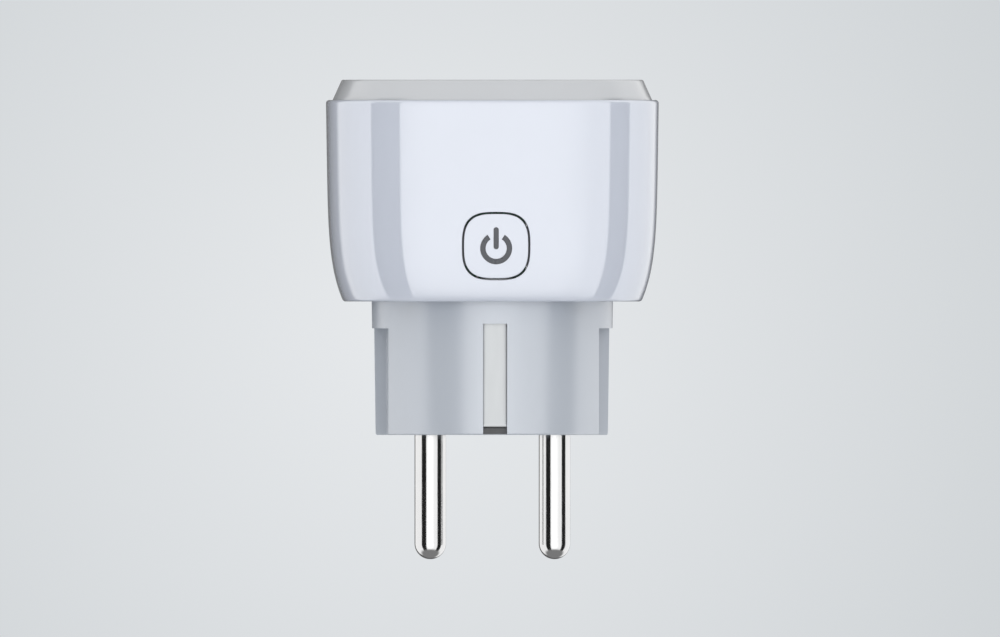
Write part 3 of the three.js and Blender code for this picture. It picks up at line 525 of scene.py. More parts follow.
def plug_pin(name, x):
    """A pin on the lathe: a half-round tip, a straight shank, and its shoulder and root inside."""
    shoulder, root, top = PIN_SHOULDER, 2.0, pin_high[2]
    profile = bend((0, -PIN_LENGTH + PIN_RADIUS), PIN_RADIUS, -90, 0, 20)
    profile += [(PIN_RADIUS, z) for z in np.linspace(-PIN_LENGTH + PIN_RADIUS, 3.1, 12)[1:]]
    profile += [(shoulder, 3.1), (shoulder, 4.3), (root, 4.3), (root, top), (0, top)]
    return even(build(name, [sheet(turned(profile, x, 0, 128))]))


def earth_sleeve():
    """The tube for a wall socket's earth pin: its ring section is swept once round."""
    low, high = sleeve_low[2], sleeve_high[2]
    outer = (sleeve_high[0] - sleeve_low[0]) / 2
    inner, edge = outer - 0.6, 0.12
    profile = [(inner, low + edge), (inner + edge, low), (outer - edge, low), (outer, low + edge),
               (outer, high - edge), (outer - edge, high), (inner + edge, high), (inner, high - edge)]
    return build("earth_pin_tube", [sheet(turned(profile, 0, EARTH_HOLE_Y, 96), wrap_rows=True)], 50)


def plug_earth_strip(name, side):
    """The plug's earth contact: a rounded strip that hooks in below, runs up its slot and steps inside."""
    y, inside = OUTER_STRIP_Y, INNER_STRIP_Y
    path = [(y - 1.1, 1.15), (y, 1.15), (y, 18.1), (inside, 18.8), (inside, strip_high[2])]
    path = smooth_path(path, 0.6, 0.1) * [side, 1]
    return even(build(name, [strip(path, STRIP_WIDTH, STRIP_THICKNESS, 0.08)], 50))


def strip_foot(name, side):
    """The foot under a strip's hook, dark grey as painted shade for the bottom of the slot: an L-shaped
    profile in y and z carried across the slot.

    Its thin upright lip stands on the outer edge, in front of the hook's bend.
    """
    outside = OUTER_STRIP_Y + STRIP_THICKNESS / 2
    inside, lip = outside - 1.9, outside - 0.12
    low, shelf, top = 0.14, 0.71, 1.05
    y = np.array([inside, outside, outside, lip, lip, inside])
    z = np.array([low, low, top, top, shelf, shelf])
    ends = [np.stack([0 * y + x, side * y, z], -1) for x in (-STRIP_WIDTH / 2, STRIP_WIDTH / 2)]
    return soften(build(name, [sheet(np.array(ends), capped=True)]), 0.04, 40)


def socket_earth_clip(name, side):
    """The socket's earth spring: a foot, an upright, and a leaf that bows in by the square of a sine."""
    foot, top = clip_low[2] + 0.45, clip_high[2]
    z = np.linspace(top - 11, top, 49)
    leaf = np.stack([CLIP_Y - 1.6 * np.sin(math.pi * (z - top + 11) / 11) ** 2, z], -1)
    foot_path = smooth_path([(CLIP_Y - 2.4, foot), (CLIP_Y, foot), (CLIP_Y, top - 11)], 0.9)
    path = np.concatenate([foot_path[:-1], leaf]) * [side, 1]
    return even(build(name, [strip(path, clip_high[0] - clip_low[0], 0.9, 0.2)], 50))


def case_screw(name, x, y, head_low):
    """A pan-head screw, head down: a domed head on the lathe with a cross cut in it, and its shank."""
    radius, head, shank = SCREW_HEAD_RADIUS, 1.1, 1.25
    profile = [(r, head_low + 0.35 * (r / radius) ** 2) for r in np.linspace(0, radius - 0.25, 8)]
    profile += bend((radius - 0.25, head_low + 0.6), 0.25, -60, 0, 4)
    profile += [(radius, head_low + head), (shank, head_low + head)]
    profile += [(shank, head_low + head + 10), (0, head_low + head + 11)]
    screw = build(name, [sheet(turned(profile, x, y, 64))])
    for width, depth in ((2.5, 0.5), (0.5, 2.5)):
        blade = upright(round_rectangle(width, depth, 0.1, x, y), head_low - 1, head_low + 0.75)
        combine(screw, "DIFFERENCE", [blade])
    return even(screw)


# ---------------------------------------------------------------- button and its symbol


def power_button():
    """The button's cap: rings that carry on the body's own front surface, with the symbol cut through."""
    angle = TURN * np.arange(160) / 160
    centre = np.array([0.0, BUTTON_Z])
    outline = button_outline(angle, BUTTON_HALF)
    cap = build("power_button_cap", [dome(outline, centre, front_y, button_high[1], HOLE_EDGE)])
    combine(cap, "DIFFERENCE", symbol(SYMBOL_GAP, lambda x, z: 0 * x - BODY_HALF - 1, button_high[1] + 1))
    return even(cap)


def symbol(grow, face, back):
    """The power symbol, grown by a margin: a ring with an opening at its top, and an upright bar."""
    centre = BUTTON_Z - SYMBOL_DROP
    middle = (SYMBOL_OUTER + SYMBOL_INNER) / 2
    half = math.radians(SYMBOL_OPENING) - grow / middle
    turn = np.linspace(QUARTER + half, QUARTER - half + TURN, 97)[:, None]
    radius = np.linspace(SYMBOL_INNER - grow, SYMBOL_OUTER + grow, 6)
    x, z = radius * np.cos(turn), centre + radius * np.sin(turn)
    front = np.stack([x, face(x, z), z], -1)
    behind = np.stack([x, 0 * x + back, z], -1)[:, [-1, 0]]
    angle = TURN * np.arange(48) / 48
    wide = SYMBOL_BAR / 2 + grow
    low, high = centre - 0.12 + SYMBOL_BAR / 2, centre + SYMBOL_RISE - SYMBOL_BAR / 2
    end = np.where(np.sin(angle) > 0, high, low)
    bar = np.stack([wide * np.cos(angle), end + wide * np.sin(angle)], -1)
    ring = sheet(np.concatenate([front, behind], 1), capped=True)
    return [ring, dome(bar, np.array([0, (low + high) / 2]), face, back, rings=6)]


def symbol_light_guide():
    """The smoked guide behind the button: a plate with two wings, and the symbol standing on it."""
    angle = TURN * np.arange(96) / 96
    front, back = button_high[1] + 0.1, guide_high[1]
    plate = button_outline(angle, GUIDE_HALF)
    centre = np.array([0.0, BUTTON_Z])
    disc = dome(plate, centre, lambda x, z: 0 * x + front, back, rings=3)
    guide = build("symbol_light_guide_lens", [disc])
    wings = round_rectangle(2 * guide_high[0], back - front - 0.02, 0.1, 0, (front + back) / 2)
    combine(guide, "UNION", [upright(wings, BUTTON_Z - WING_RISE, BUTTON_Z + WING_RISE)], 30)
    combine(guide, "UNION", symbol(0, lambda x, z: front_y(x, z) + 0.01, front + 0.2), 30)
    return even(guide)


# ---------------------------------------------------------------- finishes


class Finish:
    """A material under way: its shader, its node tree, and its pattern on the piece's own coordinates."""

    def __init__(self, name, colour, roughness, metallic=0.0, ior=1.5):
        self.material = bpy.data.materials.new(name)
        self.material.use_nodes = True
        self.tree = self.material.node_tree
        self.shader = self.tree.nodes["Principled BSDF"]
        self.shader.inputs["Base Color"].default_value = (*colour, 1)
        self.shader.inputs["Roughness"].default_value = roughness
        self.shader.inputs["Metallic"].default_value = metallic
        self.shader.inputs["IOR"].default_value = ior
        self.place = self.tree.nodes.new("ShaderNodeTexCoord").outputs["Object"]
        self.relief = None

    def node(self, kind, *links, **settings):
        """Adds a node: its settings by name, and its inputs linked in order to other nodes' outputs."""
        made = self.tree.nodes.new(kind)
        for name, value in settings.items():
            setattr(made, name, value)
        for source, target in links:
            self.tree.links.new(source, made.inputs[target])
        return made

    def stretched(self, scale, turn=(0, 0, 0)):
        """The piece's coordinates, stretched and turned."""
        mapping = self.node("ShaderNodeMapping", (self.place, "Vector"))
        mapping.inputs["Scale"].default_value = scale
        mapping.inputs["Rotation"].default_value = turn
        return mapping.outputs["Vector"]

    def noise(self, size, detail=3.0, stretch=None):
        """Cloudy values from 0 to 1 whose features are about size millimetres across."""
        place = self.stretched(stretch) if stretch else self.place
        made = self.node("ShaderNodeTexNoise", (place, "Vector"))
        made.inputs["Scale"].default_value = 1 / (size * MM)
        made.inputs["Detail"].default_value = detail
        return made.outputs["Fac"]

    def cells(self, size, feature="F1"):
        """Distances to scattered points that lie about size millimetres apart."""
        made = self.node("ShaderNodeTexVoronoi", (self.place, "Vector"), feature=feature)
        made.inputs["Scale"].default_value = 1 / (size * MM)
        return made.outputs["Distance"]

    def bands(self, size, direction, distortion=0.0):
        """Even bands, size millimetres apart, across one direction."""
        made = self.node("ShaderNodeTexWave", (self.place, "Vector"), bands_direction=direction)
        made.inputs["Scale"].default_value = TURN / (20 * size * MM)
        made.inputs["Distortion"].default_value = distortion
        return made.outputs["Fac"]

    def range(self, value, low, high, start=0.0, end=1.0):
        """Values between low and high brought to start and end, and held there beyond them."""
        made = self.node("ShaderNodeMapRange", (value, "Value"))
        for name, number in (("From Min", low), ("From Max", high), ("To Min", start), ("To Max", end)):
            made.inputs[name].default_value = number
        return made.outputs["Result"]

    def times(self, first, second):
        """The product of two values."""
        return self.node("ShaderNodeMath", (first, 0), (second, 1), operation="MULTIPLY").outputs[0]

    def tint(self, amount, colour, other):
        """Colours the piece between two colours, by an amount from 0 to 1."""
        made = self.node("ShaderNodeMix", (amount, "Factor"), data_type="RGBA")
        made.inputs["A"].default_value, made.inputs["B"].default_value = (*colour, 1), (*other, 1)
        return self.colour(made.outputs["Result"])

    def overlay(self, amount, colour):
        """Lays one more colour over what the piece has, by an amount from 0 to 1."""
        under = self.shader.inputs["Base Color"].links[0].from_socket
        made = self.node("ShaderNodeMix", (amount, "Factor"), (under, "A"), data_type="RGBA")
        made.inputs["B"].default_value = (*colour, 1)
        return self.colour(made.outputs["Result"])

    def colour(self, socket):
        self.tree.links.new(socket, self.shader.inputs["Base Color"])
        return self

    def gloss(self, value, low, high):
        """Roughness between two numbers, by a value from 0 to 1."""
        self.tree.links.new(self.range(value, 0.3, 0.7, low, high), self.shader.inputs["Roughness"])
        return self

    def emboss(self, height, depth):
        """Raises the surface by the height values, over a depth in millimetres."""
        made = self.node("ShaderNodeBump", (height, "Height"))
        made.inputs["Distance"].default_value = depth * MM
        made.inputs["Strength"].default_value = 1.0
        if self.relief:
            self.tree.links.new(self.relief, made.inputs["Normal"])
        self.relief = made.outputs["Normal"]
        self.tree.links.new(self.relief, self.shader.inputs["Normal"])
        return self

    def set(self, **numbers):
        """Sets the shader's own numbers, named with underscores for spaces."""
        for name, number in numbers.items():
            self.shader.inputs[name.replace("_", " ")].default_value = number
        return self


def gloss_white():
    """Polished white moulding: faint orange peel and a cloudy polish."""
    finish = Finish("gloss_white", GLOSS_WHITE, 0.05, ior=2.3)
    finish.tint(finish.noise(14), GLOSS_WHITE, tuple(0.97 * part for part in GLOSS_WHITE))
    finish.gloss(finish.noise(5, 2), 0.035, 0.06)
    finish.emboss(finish.noise(3.2, 1), 0.0012)
    return finish.material


def satin_base_white():
    """Satin white moulding of the plug: finely etched, a little cloudy, with a soft grain."""
    finish = Finish("satin_base_white", SATIN_BASE, 0.26, ior=2.1)
    finish.tint(finish.noise(14, 1), SATIN_BASE, tuple(0.975 * part for part in SATIN_BASE))
    finish.gloss(finish.noise(9, 1), 0.25, 0.27)
    finish.emboss(finish.noise(0.5, 1), 0.0003)
    return finish.material


def satin_collar():
    """Pale-grey moulding of the collar and the cup: a light polish over spark-eroded grain."""
    finish = Finish("satin_collar", COLLAR_GREY, 0.17, ior=1.8)
    finish.tint(finish.noise(6, 4), COLLAR_GREY, tuple(0.97 * part for part in COLLAR_GREY))
    finish.gloss(finish.noise(5, 1), 0.16, 0.19)
    finish.emboss(finish.noise(0.3, 2), 0.0005)
    finish.emboss(finish.noise(3.4, 1), 0.0008)
    return finish.material


def plated_strip():
    """Satin-plated steel of the plug's earth strips: pale, softly rolled along its length."""
    finish = Finish("plated_strip", PLATING, 0.3, 1.0)
    finish.tint(finish.noise(5, 3), PLATING, tuple(0.96 * part for part in PLATING))
    finish.gloss(finish.noise(0.5, 3, stretch=(1, 1, 0.08)), 0.28, 0.34)
    finish.emboss(finish.noise(0.3, 2, stretch=(1, 1, 0.06)), 0.0008)
    return finish.material


def painted_slot_shade_grey():
    """Dark-grey painted shade on the strips' feet: the colour stands in for the shadow at the bottom of
    the earth slots; matt, etched and slightly clouded.
    """
    finish = Finish("painted_slot_shade_grey", PAINTED_SLOT_SHADE, 0.5)
    finish.tint(finish.noise(0.8, 3), PAINTED_SLOT_SHADE, tuple(0.85 * part for part in PAINTED_SLOT_SHADE))
    finish.gloss(finish.noise(0.5), 0.44, 0.56)
    finish.emboss(finish.noise(0.15, 2), 0.003)
    return finish.material


def smoked_lens():
    """Smoke-grey light guide: clear-coated, with a fine grain and cloudier patches."""
    finish = Finish("smoked_lens", SMOKE, 0.3)
    finish.tint(finish.noise(1.4, 4), SMOKE, tuple(0.85 * part for part in SMOKE))
    finish.gloss(finish.noise(0.8), 0.25, 0.36)
    finish.emboss(finish.noise(0.2), 0.002)
    return finish.set(Coat_Weight=0.15, Coat_Roughness=0.1).material


def bright_nickel():
    """Bright nickel of the pins: turning rings and long handling scratches."""
    finish = Finish("bright_nickel", NICKEL, 0.1, 1.0)
    finish.tint(finish.noise(4, 3), NICKEL, tuple(0.93 * part for part in NICKEL))
    finish.gloss(finish.noise(0.5, 4, stretch=(1, 1, 0.12)), 0.07, 0.16)
    finish.emboss(finish.bands(0.14, "Z", 0.6), 0.0004)
    scratches = finish.noise(0.25, 5, stretch=(1, 1, 0.04))
    finish.emboss(finish.range(scratches, 0.6, 0.66), 0.0008)
    return finish.material


def brushed_steel():
    """Rolled spring steel: brushed along its length, with cloudy oxide tints."""
    finish = Finish("brushed_steel", STEEL, 0.28, 1.0)
    finish.tint(finish.noise(3, 4), STEEL, tuple(0.82 * part for part in STEEL))
    finish.gloss(finish.noise(0.6, 2, stretch=(1, 1, 0.06)), 0.26, 0.33)
    finish.emboss(finish.noise(0.3, 1, stretch=(1, 1, 0.05)), 0.0003)
    finish.emboss(finish.noise(1.8, 1), 0.001)
    return finish.material


def zinc_screw():
    """Zinc-plated screw steel: a pale plating with yellowish clouds."""
    finish = Finish("zinc_screw", ZINC, 0.3, 1.0)
    finish.tint(finish.noise(0.9, 4), ZINC, (0.62, 0.58, 0.46))
    finish.gloss(finish.noise(0.4, 4), 0.22, 0.4)
    finish.emboss(finish.noise(0.2, 3), 0.004)
    return finish.material


def contact_bronze():
    """Stamped contact bronze: rolled grain, warm tarnish in patches, and small pits."""
    finish = Finish("contact_bronze", BRONZE, 0.3, 1.0)
    finish.tint(finish.noise(2.2, 5), BRONZE, (0.52, 0.34, 0.15))
    finish.gloss(finish.noise(0.6, 4), 0.22, 0.42)
    finish.emboss(finish.noise(0.12, 3, stretch=(1, 1, 0.1)), 0.003)
    finish.emboss(finish.cells(0.8), 0.002)
    return finish.material


def lacquered_winding():
    """Lacquered copper wire, wound close: an even winding with glossy lacquer, and painted shade darkening
    the gaps between the wires.
    """
    finish = Finish("lacquered_winding", COPPER, 0.3, 0.9)
    wire_turns_and_gap_shade = finish.bands(0.22, "X")
    # painted shade: the low ends of the winding's bands darken the gaps between the wires
    finish.tint(wire_turns_and_gap_shade, tuple(0.35 * part for part in COPPER), COPPER)
    finish.gloss(finish.noise(0.7), 0.2, 0.36)
    finish.emboss(wire_turns_and_gap_shade, 0.03)
    return finish.set(Coat_Weight=0.4, Coat_Roughness=0.15).material


def natural_nylon():
    """Natural nylon of the shutter and carriers: creamy, faintly flow-marked, softly grained."""
    finish = Finish("natural_nylon", NYLON, 0.5)
    finish.tint(finish.noise(3.5, 5), NYLON, tuple(0.9 * part for part in NYLON))
    finish.gloss(finish.noise(1.1), 0.44, 0.58)
    finish.emboss(finish.noise(0.22, 3), 0.006)
    return finish.set(Subsurface_Weight=0.05).material


def circuit_board():
    """Green solder resist over copper: routed tracks, tinned pads, and a glassy weave beneath."""
    finish = Finish("circuit_board", RESIST, 0.38)
    tracks = finish.times(finish.range(finish.bands(0.9, "X", 3.0), 0.7, 0.8),
                          finish.range(finish.noise(4, 0), 0.48, 0.52))
    finish.tint(tracks, RESIST, (0.03, 0.19, 0.09))
    pads = finish.range(finish.cells(1.7), 0.17, 0.13)
    finish.overlay(pads, (0.72, 0.72, 0.68))
    finish.gloss(finish.noise(0.9), 0.3, 0.45)
    finish.emboss(tracks, 0.03)
    finish.emboss(finish.bands(0.3, "Y"), 0.004)
    return finish.set(Coat_Weight=0.3, Coat_Roughness=0.2).material


def moulded_black():
    """Black component casing: dusty, finely etched, with paler mould-release clouds."""
    finish = Finish("moulded_black", BLACK, 0.45)
    finish.tint(finish.noise(2, 5), BLACK, (0.035, 0.036, 0.04))
    finish.gloss(finish.noise(0.9), 0.38, 0.55)
    finish.emboss(finish.noise(0.14, 3), 0.008)
    return finish.material


def yellow_film():
    """Wrapped yellow film: overlapping layers, soft creases and a varnished sheen."""
    finish = Finish("yellow_film", FILM, 0.35)
    layers = finish.bands(1.6, "Z", 0.4)
    finish.tint(layers, FILM, tuple(0.84 * part for part in FILM))
    finish.gloss(finish.noise(1.4), 0.28, 0.44)
    finish.emboss(layers, 0.02)
    finish.emboss(finish.noise(0.7), 0.012)
    return finish.material


def dipped_blue():
    """Dipped blue epoxy: thick, wavy and pimpled, with lighter runs."""
    finish = Finish("dipped_blue", EPOXY, 0.3)
    finish.tint(finish.noise(1.6, 3), EPOXY, (0.05, 0.2, 0.55))
    finish.gloss(finish.noise(0.8), 0.24, 0.4)
    finish.emboss(finish.noise(1.1, 2), 0.04)
    finish.emboss(finish.cells(0.5), 0.006)
    return finish.material


def sintered_ferrite():
    """Sintered ferrite: dark grey, gritty, chipped paler in small spots."""
    finish = Finish("sintered_ferrite", FERRITE, 0.6)
    finish.tint(finish.range(finish.cells(0.6), 0.1, 0.3), (0.13, 0.13, 0.135), FERRITE)
    finish.gloss(finish.noise(0.6), 0.5, 0.7)
    finish.emboss(finish.noise(0.2, 4), 0.015)
    return finish.material


def lamp_resin():
    """Milky resin of the status light: glossy, with a cloudy core."""
    finish = Finish("lamp_resin", RESIN, 0.2)
    finish.tint(finish.noise(0.5, 3), RESIN, (0.78, 0.74, 0.5))
    finish.gloss(finish.noise(0.4), 0.14, 0.28)
    finish.emboss(finish.noise(0.3), 0.004)
    return finish.set(Subsurface_Weight=0.15).material


GLOSS_WHITE = (0.62, 0.655, 0.74)
SATIN_BASE = (0.5, 0.535, 0.59)
COLLAR_GREY = (0.56, 0.575, 0.595)
SMOKE = (0.066, 0.07, 0.082)
NICKEL = (0.7, 0.7, 0.7)
STEEL = (0.55, 0.56, 0.57)
PLATING = (0.475, 0.49, 0.5)
# painted shade: this dark grey stands in for the shadow at the bottom of the plug's earth slots
PAINTED_SLOT_SHADE = (0.085, 0.087, 0.09)
ZINC = (0.66, 0.67, 0.66)
BRONZE = (0.72, 0.5, 0.24)
COPPER = (0.72, 0.33, 0.14)
NYLON = (0.76, 0.73, 0.62)
RESIST = (0.01, 0.1, 0.045)
BLACK = (0.016, 0.017, 0.02)
FILM = (0.7, 0.46, 0.06)
EPOXY = (0.025, 0.11, 0.4)
FERRITE = (0.045, 0.046, 0.05)
RESIN = (0.8, 0.79, 0.7)

SLOT_FINISHES = {
    "gloss_shell": gloss_white(),
    "socket_plastic": satin_collar(),
    "symbol_plastic": smoked_lens(),
    "pin_chrome": bright_nickel(),
    "earth_steel": brushed_steel(),
    "screw_steel": zinc_screw(),
    "contact_brass": contact_bronze(),
    "winding_copper": lacquered_winding(),
    "carrier_plastic": natural_nylon(),
    "board_green": circuit_board(),
    "component_black": moulded_black(),
    "film_yellow": yellow_film(),
    "varistor_blue": dipped_blue(),
    "ferrite_grey": sintered_ferrite(),
    "led_white": lamp_resin(),
}
PLUG_FINISH = satin_base_white()
STRIP_FINISH = plated_strip()
PAINTED_SLOT_SHADE_FINISH = painted_slot_shade_grey()


# ---------------------------------------------------------------- assembly


def fit(piece, slot, body, node, finish=None):
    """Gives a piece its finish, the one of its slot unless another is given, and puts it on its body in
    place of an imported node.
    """
    piece.data.materials.clear()
    piece.data.materials.append(finish or SLOT_FINISHES[slot])
    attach(piece, body)
    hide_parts(node)


def dress_packed_nodes():
    """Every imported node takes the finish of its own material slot."""
    for part in frame["record"]["subparts"]:
        mesh = frame["nodes"][part["node"]].data
        mesh.materials.clear()
        mesh.materials.append(SLOT_FINISHES[part["material_slot"]])


dress_packed_nodes()
fit(body_shell(), "gloss_shell", "housing", "body_shell")
fit(socket_insert(), "socket_plastic", "housing", "socket_insert")
fit(plug_base(), "gloss_shell", "housing", "plug_base", PLUG_FINISH)
fit(plug_pin("live_plug_pin", -PIN_X), "pin_chrome", "housing", "live_pin")
fit(plug_pin("neutral_plug_pin", PIN_X), "pin_chrome", "housing", "neutral_pin")
fit(earth_sleeve(), "contact_brass", "housing", "earth_pin_sleeve")
fit(power_button(), "gloss_shell", "button", "power_button")
fit(symbol_light_guide(), "symbol_plastic", "button", "symbol_light_guide")
for side, end in ((-1, "front"), (1, "back")):
    contact = plug_earth_strip(f"{end}_plug_earth_strip", side)
    fit(contact, "earth_steel", "housing", f"plug_earth_strip_{end}", STRIP_FINISH)
    # the foot's dark grey is painted shade at the bottom of the strip's slot
    foot = strip_foot(f"{end}_strip_foot", side)
    fit(foot, "component_black", "housing", f"strip_foot_{end}", PAINTED_SLOT_SHADE_FINISH)
    spring = socket_earth_clip(f"{end}_socket_earth_spring", side)
    fit(spring, "earth_steel", "housing", f"socket_earth_clip_{end}")
for number, (x, y) in enumerate(SCREWS, 1):
    screw = case_screw(f"casing_screw_{number}", x, y, BODY_LOW + 0.1)
    fit(screw, "screw_steel", "housing", f"case_screw_{number}")


# ---------------------------------------------------------------- studio

VIEW_TURN = math.radians(-1.35)  # the camera stands this far round from straight in front
VIEW_CENTRE = (1.17, 0.0, 17.8)
VIEW_WIDTH = 152.9
VIEW_DISTANCE = 350
FLOOR_Z = -32.0


def studio_light():
    """A light tent by direction: bright panels with two black flags between them, and a dim back.

    The azimuth is measured from the camera's side, to the right. A glow lies low in the front
    panel, the flags end below the upper lights, and a dim floor lies under everything.
    """
    world = bpy.data.worlds.new("light_tent")
    bpy.context.scene.world = world
    world.use_nodes = True
    tree = world.node_tree
    tree.nodes.clear()
    make, link = tree.nodes.new, tree.links.new
    toward = make("ShaderNodeTexCoord").outputs["Generated"]
    place = make("ShaderNodeSeparateXYZ")
    link(toward, place.inputs[0])

    def maths(operation, *values):
        node = make("ShaderNodeMath")
        node.operation = operation
        for slot, value in zip(node.inputs, values):
            if isinstance(value, (int, float)):
                slot.default_value = value
            else:
                link(value, slot)
        return node.outputs[0]

    def fade(value, start, end):
        node = make("ShaderNodeMapRange")
        node.interpolation_type = "SMOOTHSTEP"
        link(value, node.inputs["Value"])
        node.inputs["From Min"].default_value, node.inputs["From Max"].default_value = start, end
        return node.outputs["Result"]

    def blend(amount, first, second):
        node = make("ShaderNodeMix")
        link(amount, node.inputs["Factor"])
        for name, value in (("A", first), ("B", second)):
            if isinstance(value, float):
                node.inputs[name].default_value = value
            else:
                link(value, node.inputs[name])
        return node.outputs["Result"]

    azimuth = maths("ARCTAN2", place.outputs["X"], maths("MULTIPLY", place.outputs["Y"], -1.0))
    around = maths("MULTIPLY_ADD", azimuth, 1 / TURN, 0.5 - math.degrees(VIEW_TURN) / 360)

    def panels(stops):
        ramp = make("ShaderNodeValToRGB")
        link(around, ramp.inputs[0])
        elements = ramp.color_ramp.elements
        elements.remove(elements[1])
        elements[0].position = 0
        elements[0].color = (*[stops[0][1]] * 3, 1)
        for angle, light in stops[1:]:
            elements.new(angle / 360 + 0.5).color = (light, light, light, 1)
        return ramp.outputs["Color"]

    low_glow = make("ShaderNodeVectorMath")
    low_glow.operation = "DOT_PRODUCT"
    link(toward, low_glow.inputs[0])
    low_glow.inputs[1].default_value = GLOW_TOWARD
    glow = maths("MULTIPLY", fade(low_glow.outputs["Value"], 0.8, 1.0), GLOW_LIGHT)
    tent = maths("MULTIPLY", panels(PANELS), maths("ADD", 1.0, glow))
    tent = blend(fade(place.outputs["Z"], 0.5, 0.72), tent, panels(UPPER_PANELS))
    tent = blend(fade(place.outputs["Z"], -0.8, -0.58), LOW_LIGHT, tent)
    lit, seen = make("ShaderNodeBackground"), make("ShaderNodeBackground")
    link(tent, lit.inputs["Color"])
    lit.inputs["Strength"].default_value = TENT_STRENGTH
    seen.inputs["Color"].default_value = (0.74, 0.77, 0.79, 1)
    choice = make("ShaderNodeMixShader")
    link(make("ShaderNodeLightPath").outputs["Is Camera Ray"], choice.inputs[0])
    link(lit.outputs[0], choice.inputs[1])
    link(seen.outputs[0], choice.inputs[2])
    link(choice.outputs[0], make("ShaderNodeOutputWorld").inputs["Surface"])


FRONT_LIGHT, SIDE_LIGHT, BACK_LIGHT, FLAG = 0.93, 0.9, 0.1, 0.015
LOW_LIGHT = 0.2
TENT_STRENGTH = 1.35
GLOW_LIGHT = 0.32
GLOW_TOWARD = (-0.02, -0.97, -0.24)
PANELS = [  # each panel and flag by the azimuths of its two edges, in degrees, and how bright it is
    (-180, BACK_LIGHT), (-146, BACK_LIGHT), (-137, SIDE_LIGHT), (-66.5, SIDE_LIGHT),
    (-64.5, FLAG), (-29.5, FLAG), (-28, FRONT_LIGHT), (54, FRONT_LIGHT), (55.6, FLAG), (87, FLAG),
    (90, SIDE_LIGHT), (157, SIDE_LIGHT), (167, BACK_LIGHT)]
UPPER_PANELS = [
    (-180, BACK_LIGHT), (-143, BACK_LIGHT), (-137, 0.8), (-70, 0.62), (0, 0.6), (70, 0.62),
    (120, 0.9), (160, 0.9), (170, BACK_LIGHT)]


def soft_panel(name, place, size, power):
    """A soft square light that faces the object and isn't seen itself."""
    light = bpy.data.lights.new(name, "AREA")
    light.size = size * MM
    light.energy = power
    panel = bpy.data.objects.new(name, light)
    panel.location = [part * MM for part in place]
    toward = mathutils.Vector((0, 0, 0.02)) - panel.location
    panel.rotation_euler = toward.to_track_quat("-Z", "Y").to_euler()
    panel.visible_camera = False
    panel.visible_glossy = False
    bpy.context.scene.collection.objects.link(panel)


def backdrop():
    """A pale wall behind the object, glowing with painted light: brightest in its middle and fading
    outwards between two greys, a painted pool of light that no lamp casts.
    """
    x, z = np.meshgrid(np.linspace(-900, 900, 3), np.linspace(-600, 900, 3), indexing="ij")
    grid = np.stack([x, 0 * x + WALL_Y, z], -1)
    faces = quads(*grid.shape[:2], False, False).reshape(-1, 4).tolist()
    wall = build("pale_backdrop", [(grid.reshape(-1, 3), faces)])
    material = bpy.data.materials.new("painted_light_wall_glow")
    material.use_nodes = True
    tree = material.node_tree
    tree.nodes.clear()
    make, link = tree.nodes.new, tree.links.new
    centred = make("ShaderNodeVectorMath")
    link(make("ShaderNodeTexCoord").outputs["Object"], centred.inputs[0])
    centred.inputs[1].default_value = (0, -WALL_Y * MM, -VIEW_CENTRE[2] * MM)
    distance = make("ShaderNodeVectorMath")
    distance.operation = "LENGTH"
    link(centred.outputs["Vector"], distance.inputs[0])
    fading = make("ShaderNodeMapRange")
    link(distance.outputs["Value"], fading.inputs["Value"])
    fading.inputs["From Max"].default_value = WALL_FADE * MM
    mix = make("ShaderNodeMix")
    mix.data_type = "RGBA"
    link(fading.outputs["Result"], mix.inputs["Factor"])
    for name, grey in (("A", WALL_MIDDLE), ("B", WALL_EDGE)):
        mix.inputs[name].default_value = (*grey, 1)
    glow = make("ShaderNodeEmission")
    link(mix.outputs["Result"], glow.inputs["Color"])
    link(glow.outputs[0], make("ShaderNodeOutputMaterial").inputs["Surface"])
    wall.data.materials.append(material)
    wall.visible_glossy = wall.visible_diffuse = wall.visible_shadow = wall.visible_transmission = False


# painted light on the wall: it glows WALL_MIDDLE at its middle, fading to WALL_EDGE over WALL_FADE
# millimetres
WALL_Y = 420.0
WALL_FADE = 120.0
WALL_MIDDLE = (0.8, 0.82, 0.84)
WALL_EDGE = (0.6, 0.63, 0.65)


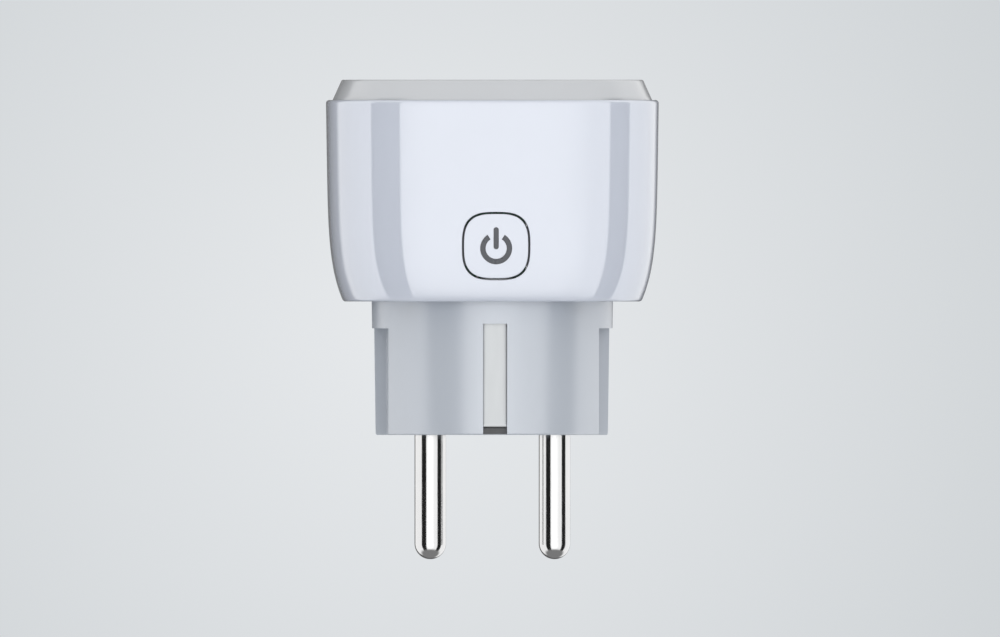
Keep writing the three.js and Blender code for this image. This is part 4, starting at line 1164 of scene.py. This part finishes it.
def floor():
    """A plain pale floor up to the wall: a level line in y and z carried straight across X."""
    profile = np.array([(-900, FLOOR_Z), (0, FLOOR_Z), (WALL_Y, FLOOR_Z)])
    x = np.linspace(-900, 900, 3)
    across = np.repeat(x[None], len(profile), 0)
    grid = np.stack([across, *np.repeat(profile.T[:, :, None], len(x), 2)], -1)
    faces = quads(*grid.shape[:2], False, False).reshape(-1, 4).tolist()
    ground = build("pale_floor", [(grid.reshape(-1, 3), faces)])
    up = sum(face.normal.z for face in ground.data.polygons)
    if up < 0:
        ground.data.flip_normals()
    finish = Finish("pale_floor_paper", (0.8, 0.82, 0.84), 0.7)
    finish.tint(finish.noise(30), (0.8, 0.82, 0.84), (0.78, 0.8, 0.82))
    finish.emboss(finish.noise(0.8), 0.02)
    tree = finish.tree
    clear = finish.node("ShaderNodeBsdfTransparent")
    sides = finish.node("ShaderNodeNewGeometry").outputs["Backfacing"]
    paper = finish.shader.outputs[0]
    mix = finish.node("ShaderNodeMixShader", (sides, 0), (paper, 1), (clear.outputs[0], 2))
    tree.links.new(mix.outputs[0], tree.nodes["Material Output"].inputs["Surface"])
    ground.data.materials.append(finish.material)
    ground.visible_glossy = False


def camera():
    """A flat-view camera level with the object, turned a little to the left of straight ahead."""
    data = bpy.data.cameras.new("front_camera")
    data.type = "ORTHO"
    data.ortho_scale = VIEW_WIDTH * MM
    data.clip_start, data.clip_end = 0.01, 5
    eye = bpy.data.objects.new("front_camera", data)
    side, ahead = math.sin(VIEW_TURN), math.cos(VIEW_TURN)
    shift, height = VIEW_CENTRE[0], VIEW_CENTRE[2]
    place = (side * VIEW_DISTANCE + ahead * shift, -ahead * VIEW_DISTANCE + side * shift, height)
    eye.location = [part * MM for part in place]
    eye.rotation_euler = (QUARTER, 0, VIEW_TURN)
    bpy.context.scene.collection.objects.link(eye)
    bpy.context.scene.camera = eye


studio_light()
soft_panel("front_panel", (10, -300, 0), 200, 0.28)
backdrop()
floor()
camera()
bpy.context.scene.view_settings.view_transform = "Standard"
